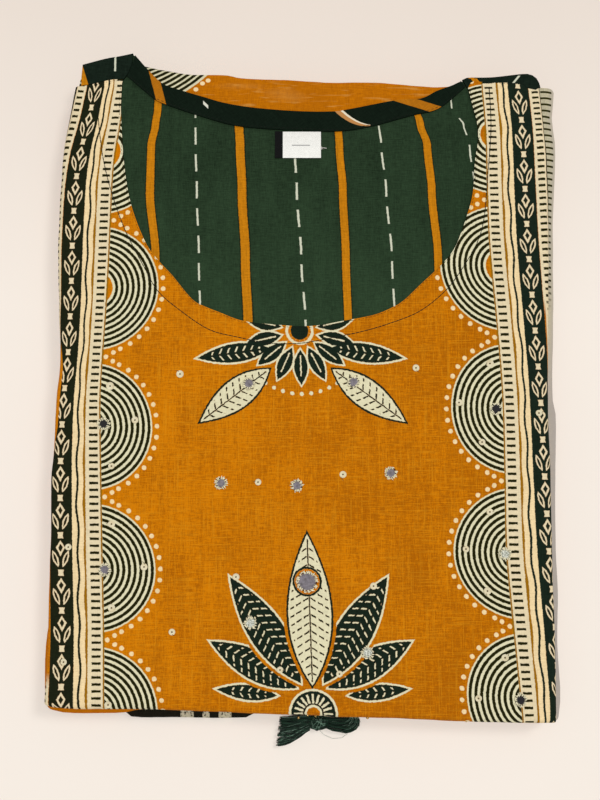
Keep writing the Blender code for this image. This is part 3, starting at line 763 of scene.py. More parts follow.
def front_look():
    look, shader = new_look("ochre printed cotton", 0.88, 0.015)
    x, y = places("cloth")
    s, t = places("border")
    wobble, wobble_too = wobbly(x, y, 3.0, 7.0), wobbly(x, y, 9.0, 10.0)
    tone, height = weave(x, y)
    patch = cloud(x * 0.03, y * 0.022, 3.0, 5.0)
    deeper = calc("MULTIPLY_ADD", tone, 1.05, patch * 1.25 + x * 0.0017 - 0.09
                  + inside(-186.0 - y, 20.0) * 0.25, clamp=True)
    ground = blend(OCHRE, DEEP_OCHRE, deeper)
    light = most(inside(cloud(x * 1.1, y * 0.03, 2.0, 6.0) - 0.61, 0.09),
                 inside(cloud(x * 0.045, y * 1.2, 2.0, 26.0) - 0.6, 0.09))
    ground = blend(ground, PALE_OCHRE, light * 0.32)
    gaps = most(stripe(s + wobble * 0.8, -0.3, 1.2), stripe(s + wobble * 0.8, 9.0, 11.6))
    ground = blend(ground, BROWN_OCHRE, gaps)
    chain = places("chain")[1]
    cream, peach, olive, dark = border_print(s + wobble * 0.8, t + wobble_too * 0.8, chain + wobble_too * 0.7)
    mx = x + 1.4 + y * 0.036 + wobble * 1.1
    my = y + wobble_too * 1.1
    petals, shadows, hearts = lotus_print(mx, my)
    # the folded edges below show the plain ochre side of the cloth
    reach = most(-24.0 - y, y - 13.0, 0.0) * 0.15
    low_left = inside(s - least(reach + 26.8, 31.0)) * inside(-100.0 - x) * stripe(y, -184.0, 28.0, 4.0)
    low_right = inside(s - 31.1) * inside(x - 100.0) * inside(55.0 - y, 6.0)
    kept = 1.0 - low_left
    cream, peach = cream * kept * (1.0 - low_right * inside(32.0 - s)), peach * kept
    olive, dark = olive * kept * (1.0 - low_right), dark * kept
    pale = shade(CREAM, 0.98 + tone * 0.16)
    pale = blend(pale, shade(WARM_CREAM, 0.98 + tone * 0.16), inside(s - 0.3))
    ink = shade(blend(DARK, WARM_DARK, inside(-100.0 - x, 10.0) * 0.6), 1.0 + tone * 0.4)
    colour = blend(ground, pale, cream)
    colour = blend(colour, shade(PEACH, 0.98 + tone * 0.2), peach)
    colour = blend(colour, shade(OLIVE, 1.0 + tone * 0.4), olive)
    colour = blend(colour, ink, dark)
    colour = blend(colour, pale, petals)
    colour = blend(colour, ink, shadows)
    colour = blend(colour, ground, hearts)
    set_colour(shader, colour)
    soft = cloud(x * 0.16, y * 0.16, 3.0, 8.0)
    set_bump(shader, height * 0.25 + soft * 1.6, 0.35)
    return look


def line_print(x, y):
    """Ochre stripes and rows of white dashes in turn, as (ochre, white) amounts."""
    nearest = calc("ROUND", x / LINE_PITCH)
    off = abs(repeat(x, LINE_PITCH))
    odd = calc("FLOORED_MODULO", nearest, 2.0)
    stripes = inside(2.6 - off) * odd
    shift = 1.4 - (nearest - 3.6) * (nearest - 3.6) * 0.39
    dash = least(inside(5.9 - abs(repeat(y - 172.4 + shift, 18.6))), inside(0.64 - off)) * (1.0 - odd)
    return stripes, dash, inside(3.3 - off) * odd


def back_look():
    look, shader = new_look("dark green cotton, wrong side", 0.9, 0.015)
    x, y = places("cloth")
    s, t = places("border")
    wobble = cloud(x * 0.6, y * 0.6, 2.0, 3.0) - 0.5
    tone, height = weave(x, y, 0.9)
    patch = cloud(x * 0.05, y * 0.022, 3.0, 15.0)
    ground = shade(BACK_GREEN, 0.57 + patch * 0.7 + tone * 0.5 + inside(95.0 - y, 45.0) * 0.2)
    stripes, dash, rim = line_print(s + wobble * 0.7, t)
    over = inside(t - OVER_FROM, 5.0)
    dash = dash * (1.0 - over * inside(x - 100.0)) * (1.0 - stripe(y, 173.0, 181.0) * stripe(x, -16.0, 4.0))
    ground = blend(ground, shade((0.0075, 0.0145, 0.0092), 1.0 + tone * 0.6), over)
    corner = inside((621.0 - y) * 0.317 - x - 149.4) * over
    stripes = most(stripes, corner)
    light = cloud(s * 0.9, y * 0.03, 1.0, 19.0)
    ground = shade(ground, 1.0 - rim * 0.55)
    colour = blend(ground, shade((0.52, 0.19, 0.005), 0.75 + light * 0.5 + tone * 0.35), stripes)
    mark = inside(0.62 - line_depth(x, y, (146.4, 614.8), (141.4, 608.6))) * stripe(y, 608.4, 613.4)
    colour = blend(colour, (0.62, 0.64, 0.5), most(dash, mark * over))
    lint = inside(cloud(x * 0.9, y * 0.5, 1.0, 16.0) - 0.83, 0.03) * 0.25
    colour = blend(colour, (0.3, 0.33, 0.27), lint)
    set_colour(shader, colour)
    soft = cloud(x * 0.12, y * 0.08, 3.0, 18.0)
    set_bump(shader, height * 0.25 + soft * 1.4, 0.35)
    return look


def line_depth(x, y, a, b):
    """How far this place is from the line through two points."""
    d = math.dist(a, b)
    nx, ny = (a[1] - b[1]) / d, (b[0] - a[0]) / d
    return abs((x - a[0]) * nx + (y - a[1]) * ny)


def facing_look():
    look, shader = new_look("deep green facing", 0.88, 0.012)
    x, y = places("cloth")
    u, v = turned(x, y, 38)
    tone, height = weave(u, v, 0.8)
    ground = shade((0.0048, 0.0104, 0.0060), 1.0 + tone * 0.5)
    wobble = (cloud(x * 0.5, y * 0.5, 2.0, 4.0) - 0.5) * 0.8
    ochre = most(inside(2.9 - line_depth(x + wobble, y, (-101.6, 217), (-95.8, 194.6))),
                 inside(2.9 - line_depth(x + wobble, y, (65.5, 197.5), (90.4, 189.5))))
    run = most(44.2 - x - wobble, 0.0)
    rise = y - 178.9 - run * run * 0.0244
    half = 0.4 + run * 0.135
    within = inside(x - 16.0) * inside(44.6 - x)
    warm = inside(half - abs(rise)) * within
    pale = inside(rise - half * 0.3) * warm
    dash = inside(0.85 - line_depth(x, y, (-68.2, 195.4), (-63.6, 191.0))) * stripe(x, -67.6, -64.2)
    colour = blend(ground, shade((0.42, 0.145, 0.006), 1.0 + tone * 0.3), ochre)
    colour = blend(colour, (0.5, 0.235, 0.075), warm)
    colour = blend(colour, (0.78, 0.72, 0.56), pale)
    colour = blend(colour, (0.7, 0.7, 0.6), dash)
    set_colour(shader, colour)
    set_bump(shader, height * 0.3 + cloud(x * 0.2, y * 0.2, 2.0, 28.0), 0.3)
    return look


def under_look():
    """The kurta's hidden folds: ochre, with part of another half circle behind the neck."""
    look, shader = new_look("ochre folded layers", 0.8, 0.02)
    x, y = places("cloth")
    s, t = places("border")
    tone, height = weave(x, y)
    ground = blend(OCHRE, DEEP_OCHRE, calc("MULTIPLY_ADD", tone, 0.55, 0.6, clamp=True))
    wobble = cloud(x * 0.55, y * 0.55, 2.0, 3.0) - 0.5
    r = length(x + 130.2 + wobble * 0.6, y - 284.2)
    disc = inside(94.8 - r)
    rings = inside(0.95 - abs(repeat(r - 92.3, 3.1))) * inside(93.5 - r)
    dots = inside(1.4 - least(*(length((x - px) * 0.85, y - py) for px, py in ARC_DOTS)))
    # painted highlights: pale sheen streaks and two soft glints on the folds behind the neck
    sheen = cloud(x * 0.045 + y * 0.02, y * 0.42, 2.0, 37.0)
    painted_sheen_streaks = inside(sheen - 0.63, 0.05) * 0.28
    painted_glint = most(inside(0.6 - length((x + 12.0) * 0.1, (y - 199.6 + x * 0.12) * 0.3), 1.1),
                 inside(0.6 - length((x + 43.0) * 0.08, (y - 207.4) * 0.6), 1.1) * 0.6) * 0.5 * sheen
    # painted fold shade: a darker patch on the folds behind the neck
    brown = inside(1.0 - length((x - 5.0) * 0.14, (y - 202.0) * 0.16), 2.0) * 0.5
    ground = blend(ground, DEEP_OCHRE, brown)
    ground = blend(ground, (0.78, 0.47, 0.13), most(painted_sheen_streaks, painted_glint) * inside(y - 150, 4.0))
    # the layer below shows cream at the right, with thin slanting rungs; painted shade greys this lip, most at
    # its outer edge and further down
    edge = inside(s + 9.5)
    rungs = inside(0.72 - abs(repeat(y + s * 0.4 + s * s * 0.03, OUTER_RUNG_PITCH))) * stripe(s, -9.0, -1.4)
    rungs = rungs * inside(y - 62, 8.0)
    lip = blend(shade((0.56, 0.51, 0.35), 0.9 + tone * 0.3), (0.47, 0.42, 0.34), inside(s + 2.2, 1.5))
    pale = shade(CREAM, 0.9 + tone * 0.3)
    near = inside(y - 150, 4.0)
    colour = blend(ground, pale, disc * near)
    colour = blend(colour, PEACH, dots * near)
    colour = blend(colour, shade(OLIVE, 1.0 + tone * 0.8), rings * near)
    # painted shade: the lip greyer further down
    lip = blend(lip, (0.40, 0.36, 0.335), inside(20.0 - y, 30.0) * 0.8)
    colour = blend(colour, lip, edge)
    colour = blend(colour, shade(OLIVE, 1.6), rungs * edge)
    set_colour(shader, colour)
    set_bump(shader, height * 0.25 + cloud(x * 0.03, y * 0.35, 3.0, 38.0) * 1.8, 0.4)
    return look


def plain_look(name, colour, deep, seed):
    look, shader = new_look(name, 0.88, 0.015)
    x, y = places("cloth")
    tone, height = weave(x, y)
    colour = blend(colour, deep, calc("MULTIPLY_ADD", tone, 0.5, 0.45, clamp=True))
    set_colour(shader, colour)
    set_bump(shader, height * 0.3 + cloud(x * 0.1, y * 0.1, 3.0, seed) * 1.2, 0.35)
    return look


def dupatta_look():
    look, shader = new_look("dark dupatta cotton", 0.88, 0.015)
    x, y = places("cloth")
    tone, height = weave(x, y, 0.9)
    ground = shade((0.0105, 0.0095, 0.006), 1.0 + tone * 0.5)
    blocks = most(stripe(x, -79.5, -71.0), stripe(x, -65.3, -60.8), stripe(x, -54.9, -46.7),
                  stripe(x, 60.0, 66.0), stripe(x, 96.0, 104.0), stripe(x, -140.0, -134.0))
    rows = inside(abs(repeat(y, 60.0)) - 24.0) * (1.0 - inside(cloud(x * 0.75, y * 0.5, 2.0, 49.0) - 0.58, 0.06))
    lines = stripe(abs(x), 147.0, 149.5)
    colour = blend(ground, shade((0.5, 0.46, 0.33), 1.0 + tone * 0.4), most(blocks * rows, lines))
    set_colour(shader, colour)
    set_bump(shader, height * 0.3 + cloud(x * 0.1, y * 0.1, 3.0, 48.0) * 1.2, 0.35)
    return look


def thread_look(name, colour, roughness=0.7, metallic=0.0, twist=9.0, spread=0.8, specular=0.15):
    """Twisted thread. The twist follows the piece's own coordinates."""
    look, shader = new_look(name, roughness, 0.02 if not metallic else 0.0, metallic, specular)
    x, y, z = own_places()
    ply = calc("SINE", (x + y * 0.8 + z * 1.3) * twist)
    tone = cloud(x * 0.12, y * 1.9, 2.0, 55.0) + (cloud(z * 2.0, y * 1.2, 1.0, 56.0) - 0.5)
    set_colour(shader, shade(colour, calc("MAXIMUM", tone * spread + 1.0 - spread * 0.5 + ply * 0.12, 0.12)))
    set_bump(shader, ply, 0.05)
    return look


def label_look(name, colour, roughness, dark_line=False):
    look, shader = new_look(name, roughness, 0.01, 0.0, 0.06)
    x, y = places("cloth")
    rib = calc("SINE", y * 9.0) * calc("SINE", x * 14.0)
    tone = cloud(x * 0.25, y * 0.25, 2.0, 65.0)
    speck = cloud(x * 1.8, y * 1.8, 3.0, 66.0)
    # painted shade: greyer where the label crinkles near its top
    crease_shade = inside(tone - 0.47, 0.12) * inside(y - 163.0, 8.0) * 0.14
    shaded = shade(colour, 0.5 + tone * 0.3 + speck * 0.85 + rib * 0.03 - crease_shade)
    if dark_line:
        line = stripe(y, 164.9, 165.5) * stripe(x, -7.9, 4.2)
        shaded = blend(shaded, (0.2, 0.2, 0.21), line * 0.9)
    set_colour(shader, shaded)
    set_bump(shader, rib * 0.4 + tone, 0.12)
    return look


def mirror_look():
    """Mirror glass, its reflections painted into its colour: a mottled, hazy grey, pale and speckled on the
    lower petals and on one right border mirror, near black on most border mirrors.
    """
    look, shader = new_look("mirror glass", 0.55, 0.0, 0.0, 0.1)
    x, y, _ = own_places()
    haze = inside(cloud(x * 0.45, y * 0.45, 3.0, 75.0) - 0.5, 0.22)
    speck = inside(cloud(x * 1.1, y * 1.1, 2.0, 77.0) - 0.5, 0.15)
    # painted reflections: most border mirrors darkened, those low on the lotus and one on the right border made
    # pale
    on_border = inside(abs(x) - 100.0) * (1.0 - stripe(y, -130.0, -100.0))
    grey = shade(blend((0.09, 0.08, 0.09), (0.27, 0.245, 0.28), haze), 1.0 - on_border * 0.93)
    painted_pale_reflection = most(inside(-140.0 - y) * inside(60.0 - abs(x)), inside(6.0 - length(x - 126.7, y + 106.0)))
    set_colour(shader, blend(grey, blend((0.2, 0.22, 0.17), (0.78, 0.8, 0.72), speck), painted_pale_reflection))
    feed(0.42 + haze * 0.2, shader.inputs["Roughness"])
    set_bump(shader, cloud(x * 0.35, y * 0.35, 1.0, 76.0), 0.04)
    return look


# ---------------------------------------------------------------- cloth

def front_height(x, y):
    return FRONT_Z + FRONT_LIFT + front_relief(x, y)


def on_print(edge, i, place, reach):
    """The print's place this far round a fold from point i of its edge."""
    ox, oy = outward(edge, i)
    fx, fy = edge[i]
    side = (place[1] - fy) * ox - (place[0] - fx) * oy
    return fx + ox * reach - oy * side, fy + oy * reach + ox * side


def make_front():
    cloth = Cloth()

    def path(inset):
        return path_round(FRONT, (inset,) * 4, 2.2, open_top=(206.2, 207.2), per_side=110)

    flat = path(LIP_INSET)
    neck = smooth_line(NECKLINE, 2.4)
    seams = (smooth_line([flat[-1]] + list(SEAM_RIGHT), 3.0)[1:],
             smooth_line(list(SEAM_LEFT[:3]) + [flat[0]], 3.0)[:-1])
    cloth.flat(flat + seams[0] + neck[::-1] + seams[1], front_height, spacing=3.2)
    radius = LIP + 0.1
    rows = [[((x, y, front_height(x, y)), (0, 0, 1), (x, y)) for x, y in flat]]
    for step in range(1, 13):
        angle = math.pi * step / 12
        line = path(LIP_INSET - LIP * math.sin(angle))
        row = []
        for i, (x, y) in enumerate(line):
            ox, oy = outward(flat, i)
            fx, fy = flat[i]
            drop = front_relief(fx, fy) * (1 - step / 12)
            swell = 0.35 * wave(fx, fy, 17, 21) * math.sin(angle)
            z = FRONT_Z + FRONT_LIFT - radius + radius * math.cos(angle) + drop
            row.append(((x + ox * swell, y + oy * swell, z),
                        (ox * math.sin(angle), oy * math.sin(angle), math.cos(angle)),
                        on_print(flat, i, (x, y), radius * angle)))
        rows.append(row)
    rows.append([((x, y, FRONT_Z + FRONT_LIFT - 2 * radius + 0.1), (0, 0, -1),
                  on_print(flat, i, (x, y), radius * math.pi + TUCK))
                 for i, (x, y) in enumerate(path(LIP_INSET + TUCK))])
    cloth.band(rows)
    return cloth.make("kurta_front_cloth", front_look(), maps=("cloth", "border", "chain"))


def make_back():
    cloth = Cloth()
    sides = path_round(KURTA, (BACK_INSET,) * 4, open_top=(205.0, 202.0))
    right = smooth_line(FOLD_RIGHT[::-1], 3.0)
    left = smooth_line(FOLD_LEFT[::-1], 3.0)
    neck = smooth_line(NECK_EDGE[::-1], 3.0)
    cloth.flat(sides + right + neck + left, lambda x, y: BACK_Z + back_relief(x, y), up=-1, spacing=4.0)
    seam_right = [(108.6, 207.9), (109.9, 205.2), (112.2, 206.2), (117.4, 207.6), (127, 208.6), (136.9, 208.6),
                  (147.5, 207.4), (151.4, 204.6), (156.2, 203.6)]
    seam_left = [(-149.8, 213), (-149.8, 206.5), (-144.6, 207.3), (-137.5, 209.2), (-130.5, 210.8),
                 (-121.4, 211.2), (-118.9, 214.4), (-116.2, 221.6)]
    for fold, seam in ((right, seam_right), (left, seam_left)):
        rows = []
        for step in (0, 1, 2, 3, 3.01, 4, 5, 6, 7, 8):
            angle = math.pi * step / 8
            row = []
            for i, (x, y) in enumerate(fold):
                ox, oy = outward(fold, i)
                base = BACK_Z + back_relief(x, y) * (1 - step / 8)
                out = FLAP_FOLD * math.sin(angle)
                z = base + (FRONT_Z + 0.15 - BACK_Z) / 2 * (1 - math.cos(angle))
                row.append(((x + ox * out, y + oy * out, z),
                            (ox * math.sin(angle), oy * math.sin(angle), -math.cos(angle)),
                            (x + ox * FLAP_FOLD * angle, y + oy * FLAP_FOLD * angle
                             + (OVER_PRINT if step > 3 else 0))))
            rows.append(row)
        cloth.band(rows[::-1])
        cloth.flat(list(fold) + seam, lambda x, y: FRONT_Z + 0.3 + 0.2 * wave(x, y, 16, 15), spacing=3.0,
                   printed=lambda x, y: (x, y + OVER_PRINT))
    return cloth.make("kurta_back_cloth", back_look(), maps=("cloth", "border"), place=back_place)


def make_facing():
    cloth = Cloth()
    upper, lower = smooth_line(NECK_EDGE, 3.0), smooth_line(FACING_EDGE, 3.0)

    def height(x, y):
        return FRONT_Z + 0.05 + 0.12 * wave(x, y, 20, 31) + 0.08 * wave(x, y, 7, 32)

    cloth.flat(upper + lower, height, spacing=2.6)
    return cloth.make("back_neck_facing_cloth", facing_look(), maps=("cloth",))


def make_stack(name, lips, look, maps=("cloth",), cap=None, seed=1.0, border=None):
    """Hidden layers: a rounded lip for each fold, uneven along its length, with crevices."""
    rings = []

    def ring(sides, stand, extra, z, part, add):
        insets = [s + e for s, e in zip(stand, extra)]
        line = path_round(sides, insets, per_side=48, per_corner=4)
        row = []
        for i, (x, y) in enumerate(line):
            ox, oy = outward(line, i, True)
            swell = part * (0.55 * wave(x + 40 * z, y, 34, seed) + 0.25 * wave(x, y + 30 * z, 11, seed + 1))
            row.append(((x + ox * swell, y + oy * swell, z), (0, 0, 1),
                        (x + ox * add, y + oy * add)))
        rings.append(row)

    for k, (sides, z_top, z_bottom, *stand) in enumerate(lips):
        thick = z_top - z_bottom
        for step in range(7):
            angle = math.pi * step / 6
            inset = 0.55 * thick * (1 - math.sin(angle))
            z = (z_top + z_bottom) / 2 + thick / 2 * math.cos(angle)
            part = 0.0 if (k == 0 and step == 0) or (k == len(lips) - 1 and step == 6) else 1.0
            ring(sides, stand, [inset] * 4, z, part, thick * angle / 2)
        if k + 1 < len(lips):
            below = lips[k + 1][1]
            if z_bottom - below > 1.0:
                deep = [SLOT - s for s in stand[:3]] + [CREVICE]
                ring(sides, stand, deep, z_bottom, 0.0, 0.0)
                ring(KURTA, stand, deep, below, 0.0, 0.0)
            else:
                ring(sides, stand, [CREVICE] * 4, (z_bottom + below) / 2, 1.0, 1.0)
    cloth = Cloth()
    for row in rings:
        for place, normal, printed in row:
            cloth.points.append(place)
            cloth.normals.append(normal)
            cloth.prints.append(printed)
    n = len(rings[0])
    for k in range(len(rings) - 1):
        for i in range(n):
            j = (i + 1) % n
            cloth.faces.append([k * n + i, (k + 1) * n + i, (k + 1) * n + j, k * n + j])
    base = (len(rings) - 1) * n
    cloth.faces.append([base + i for i in reversed(range(n))])
    if cap:
        cloth.known = {spot(p): i for i, p in enumerate(cloth.points[:n])}
        outline = [(p[0][0], p[0][1]) for p in rings[0]]
        edge = np.array(outline)

        def height(x, y):
            near = float(np.min(np.hypot(edge[:, 0] - x, edge[:, 1] - y)))
            return rings[0][0][0][2] + (0 if near < 0.5 else cap(x, y) * (1 - math.exp(-near / 5)))

        cloth.flat(outline, height, spacing=5.0)
    else:
        cloth.faces.append(list(range(n)))
    return cloth.make(name, look, wall=0, maps=maps, place=border or border_place)


def under_cap(x, y):
    z = 0.6 * wave(x, y * 1.6, 38, 41) + 0.5 * wave(x * 0.4 + y * 0.3, y * 2.6, 11, 42)
    z += 0.3 * wave(x * 0.7 - y * 0.6, y * 1.4, 8, 43)
    return z - 0.45 * hollow(y - 206 + 0.04 * x, 1.6) - 0.35 * hollow(y - 199 + 0.02 * x, 1.2)


def under_border(x, y):
    """The border as printed on the layer below, which stands out at the right."""
    if x < 120:
        return -60.0, y
    return x - curve(RIGHT_UNDER, min(max(y, -213), 211)), y


front = make_front()
back = make_back()
facing = make_facing()
under = make_stack("kurta_folded_layers_cloth", KURTA_LIPS, under_look(), ("cloth", "border"),
                   under_cap, 51.0, under_border)
trousers = make_stack("trousers_fold_cloth", TROUSER_LIPS,
                      plain_look("ochre trouser cotton", (0.55, 0.17, 0.002), (0.4, 0.115, 0.002), 57.0),
                      seed=61.0)
dupatta = make_stack("dupatta_fold_cloth", DUPATTA_LIPS, dupatta_look(), seed=71.0)


def make_label(name, box, look, seed):
    """A small woven label, sewn on at the top, its lower edge a little off the cloth."""
    x0, x1, y0, y1 = box
    cloth = Cloth()
    corners = ((x0, y1), (x0, y0), (x1, y0), (x1, y1), (x0, y1))
    steps = 14  # along each side
    outline = [tuple(a[j] + (b[j] - a[j]) * i / steps for j in (0, 1))
               for a, b in zip(corners, corners[1:]) for i in range(steps)]

    def height(x, y):
        down = (y1 - y) / (y1 - y0)
        return 21.55 + 0.45 * down + 0.12 * wave(x, y, 7, seed) * down

    cloth.flat(outline, height, spacing=1.6)
    return cloth.make(name, look, wall=0.3)


white = make_label("size_label_piece", SIZE_LABEL,
                   label_look("white label", (0.9, 0.9, 0.86), 0.5, True), 81.0)
black = make_label("neck_label_piece", NECK_LABEL,
                   label_look("black label", (0.0055, 0.0055, 0.006), 0.6), 82.0)


# ---------------------------------------------------------------- sewing, mirrors and tassel

def angles(sides):
    return [2 * math.pi * k / sides for k in range(sides)]


class Bits:
    """Many small shapes joined into one mesh."""

    def __init__(self):
        self.points, self.faces = [], []

    def skin(self, rings):
        """A closed shape through rings that have the same number of points."""
        start, sides = len(self.points), len(rings[0])
        self.points += [Vector(p) for ring in rings for p in ring]
        for a in range(start, start + (len(rings) - 1) * sides, sides):
            for k in range(sides):
                n = (k + 1) % sides
                self.faces.append([a + k, a + n, a + sides + n, a + sides + k])
        self.faces.append([start + k for k in reversed(range(sides))])
        self.faces.append([start + (len(rings) - 1) * sides + k for k in range(sides)])

    def tube(self, path, radii, sides=6):
        """A closed tube along a path of points, with a radius at each."""
        path = [Vector(p) for p in path]
        rings, side = [], None
        for i, p in enumerate(path):
            along = (path[min(i + 1, len(path) - 1)] - path[max(i - 1, 0)]).normalized()
            if side is None:
                side = along.orthogonal().normalized()
            side = (side - along * side.dot(along)).normalized()
            other = along.cross(side)
            rings.append([p + (side * math.cos(a) + other * math.sin(a)) * radii[i] for a in angles(sides)])
        self.skin(rings)

    def turned_disc(self, centre, profile, sides=24, tilt=(0.0, 0.0)):
        """A round shape from (radius, height) rows, closed flat at both ends."""
        self.skin([[(centre[0] + r * math.cos(a), centre[1] + r * math.sin(a),
                     centre[2] + h + r * math.cos(a) * tilt[0] + r * math.sin(a) * tilt[1])
                    for a in angles(sides)] for r, h in profile])

    def make(self, name, look, sharp=60):
        return add_piece(name, [tuple(p) for p in self.points], self.faces, look, sharp=sharp)


def stitches(line, size, gap, thick, height, rise=0.12, bits=None):
    """Stitches along a line on the cloth, joined to those in bits."""
    bits = bits or Bits()
    dense = smooth_line(line, 0.5)
    step = int(round((size + gap) / 0.5))
    span = int(round(size / 0.5))
    for i in range(0, len(dense) - span, step):
        part = dense[i:i + span + 1:max(1, span // 4)]
        path = []
        for k, (x, y) in enumerate(part):
            arch = math.sin(math.pi * k / (len(part) - 1))
            path.append((x, y, height(x, y) + WALL / 2 - 0.1 + (rise + 0.08) * arch))
        radii = [thick * (0.5 if k in (0, len(path) - 1) else 1.0) for k in range(len(path))]
        bits.tube(path, radii)
    return bits


dark_thread = thread_look("dark sewing thread", (0.0075, 0.009, 0.006))
stitches(TOPSTITCH, 3.0, 0.0, 0.29, front_height).make("neck_topstitch", dark_thread)
edge_line = [(x, y - 0.9) if -100 < x < 95 else (x - 0.9 * (1 if x < 0 else -1), y) for x, y in NECKLINE]
stitches(edge_line, 1.9, 0.6, 0.14, front_height, 0.02).make("neck_edge_stitch", dark_thread)
inner_line = [(x, y + 1.2) for x, y in FACING_EDGE]
stitches(inner_line, 2.2, 0.6, 0.16, lambda x, y: FRONT_Z + 0.1, 0.03).make("facing_stitch", dark_thread)
seam_bits = stitches([(x, y - 1.0) for x, y in SEAM_LEFT[:3]], 2.0, 0.6, 0.15, front_height, 0.02)
stitches([(x, y - 1.0) for x, y in SEAM_RIGHT[:3]], 2.0, 0.6, 0.15, front_height, 0.02, seam_bits)
seam_bits.make("shoulder_seam_stitch", dark_thread)

glass, rings, shadow, sequins, beads = Bits(), Bits(), Bits(), Bits(), Bits()
for x, y, radius in MIRRORS:
    z = front_height(x, y) + WALL / 2
    tilt = (rng.uniform(-0.05, 0.05), rng.uniform(-0.05, 0.05))
    rim = radius * 1.08
    glass.turned_disc((x, y, z), [(rim * 0.98, 0.0), (rim, 0.2), (rim, 0.45), (rim * 0.93, 0.6)], 28, tilt)

    def on_ring(r, a, h):
        return x + r * math.cos(a), y + r * math.sin(a), z + h

    # painted shade: a dark thread ring under the stitches shows as dark gaps between them
    shadow.tube([on_ring(rim + 0.45 + 0.15 * math.sin(3 * a), a, 0.3) for a in np.linspace(0, 6.4, 30)],
                [0.3] * 30, 5)
    turns = int(2 * math.pi * rim / 1.08)
    for k in range(turns):  # the stitches over the rim, some of them missing
        if rng.random() < 0.1:
            continue
        a = 2 * math.pi * k / turns + rng.uniform(-0.1, 0.1)
        inner, outer = rim - rng.uniform(0.1, 0.7), rim + 1.45 + rng.uniform(-0.5, 0.4)
        skew = rng.uniform(-0.1, 0.3)
        rings.tube([on_ring(inner + (outer - inner) * f, a + skew * f, h)
                    for f, h in ((0.0, 0.66), (0.3, 1.0), (0.62, 0.92), (1.0, 0.1))],
                   [0.28, 0.42, 0.42, 0.24], 5)
    for k in range(int(turns * 0.45)):  # the chain that holds them together
        a = 2 * math.pi * k / (turns * 0.45) + rng.uniform(-0.15, 0.15)
        r, wide = rim + rng.uniform(0.3, 1.1), rng.uniform(0.35, 0.6) * 2.9 / rim
        rings.tube([on_ring(r + 0.3 * math.sin(6 * f), a + wide * f, 0.85 + 0.2 * math.sin(3 * f))
                    for f in (0.0, 0.33, 0.67, 1.0)], [0.24, 0.4, 0.4, 0.24], 5)
for x, y, radius in SEQUINS:
    radius *= 1.62
    z = front_height(x, y) + WALL / 2
    tilt = (rng.uniform(-0.18, 0.18), rng.uniform(-0.18, 0.18))
    cup = ((0.3, -0.1), (0.98, 0.12), (1.0, 0.24), (0.9, 0.42), (0.45, 0.16), (0.28, 0.12))
    sequins.turned_disc((x, y, z + 0.2), [(radius * r, h) for r, h in cup], 16, tilt)
    beads.turned_disc((x, y, z + 0.28), [(0.15, 0.0), (0.48, 0.1), (0.55, 0.3), (0.4, 0.5), (0.12, 0.58)], 10)
    a = rng.uniform(0, 2 * math.pi)
    reach = rng.uniform(0.9, 2.6)
    path = [(x + (radius * 0.7 + reach * f) * math.cos(a + 0.5 * f),
             y + (radius * 0.7 + reach * f) * math.sin(a + 0.5 * f), z + 0.5 - 0.35 * f)
            for f in (0.0, 0.35, 0.7, 1.0)]
    beads.tube(path, [0.16, 0.16, 0.14, 0.08], 5)
mirror_piece = glass.make("mirror_glass_pieces", mirror_look(), 15)
silver = thread_look("cream thread", (0.88, 0.82, 0.58), 0.7, 0.0, 14.0, 0.8, 0.06)
rings.make("mirror_stitching", silver)
# the dark ring of painted shade under the mirror stitches
shadow.make("mirror_stitch_gaps_painted_shade", dark_thread)
shiny, shader = new_look("pale sequin", 0.5, 0.0, 0.0, 0.15)
sx, sy, _ = own_places()
set_colour(shader, blend((0.86, 0.83, 0.64), (0.60, 0.48, 0.25), cloud(sx * 0.3, sy * 0.3, 2.0, 91.0)))
set_bump(shader, cloud(sx * 2.5, sy * 2.5, 2.0, 92.0), 0.08)
sequins.make("sequins", shiny, 30)
beads.make("sequin_beads", thread_look("brown bead", (0.12, 0.075, 0.03), 0.4, 0.0, 5.0))

gold = Bits()
for x, y in BEADS:
    gold.turned_disc((x, y, 5.0), [(0.2, 0.0), (0.8, 0.3), (1.0, 0.9), (0.8, 1.5), (0.2, 1.8)], 14)
gold_look = thread_look("gold bead", (0.75, 0.52, 0.18), 0.3, 0.9, 3.0)
gold.make("gold_beads", gold_look)

barb = Bits()
barb.tube([(11.8, 163.0, 22.6), (13.4, 163.1, 22.75), (15.2, 162.9, 22.6)], [0.22, 0.2, 0.22], 6)
barb.tube([(12.0, 161.9, 22.7), (12.0, 164.0, 22.7)], [0.25, 0.25], 6)
barb.make("label_thread_end", thread_look("pale thread", (0.8, 0.78, 0.72), 0.5))

# columns: how far the winding leans, how far it turns aside, how far off the middle, thickness
KNOT = ((0.0, 0.0, 0.75, 0.5), (0.5, 0.1, 0.45, 0.5), (-0.45, 0.2, 0.2, 0.45), (0.9, -0.1, 0.1, 0.5),
        (-0.8, 0.1, -0.15, 0.5), (0.3, 0.4, -0.4, 0.45), (0.1, 0.0, -0.72, 0.5), (1.2, 0.2, 0.35, 0.45),
        (-1.1, -0.2, 0.3, 0.5), (0.7, 0.5, 0.6, 0.45), (-0.2, -0.3, 0.0, 0.5), (1.45, 0.1, -0.3, 0.45))
HEAD = dict(x=(3.0, 15.6), y=(-219.4, -208.6), z=(0.6, 6.6))
THREADS = {"fan": 118, "loops": 74, "glint fan": 22, "glint loops": 9}


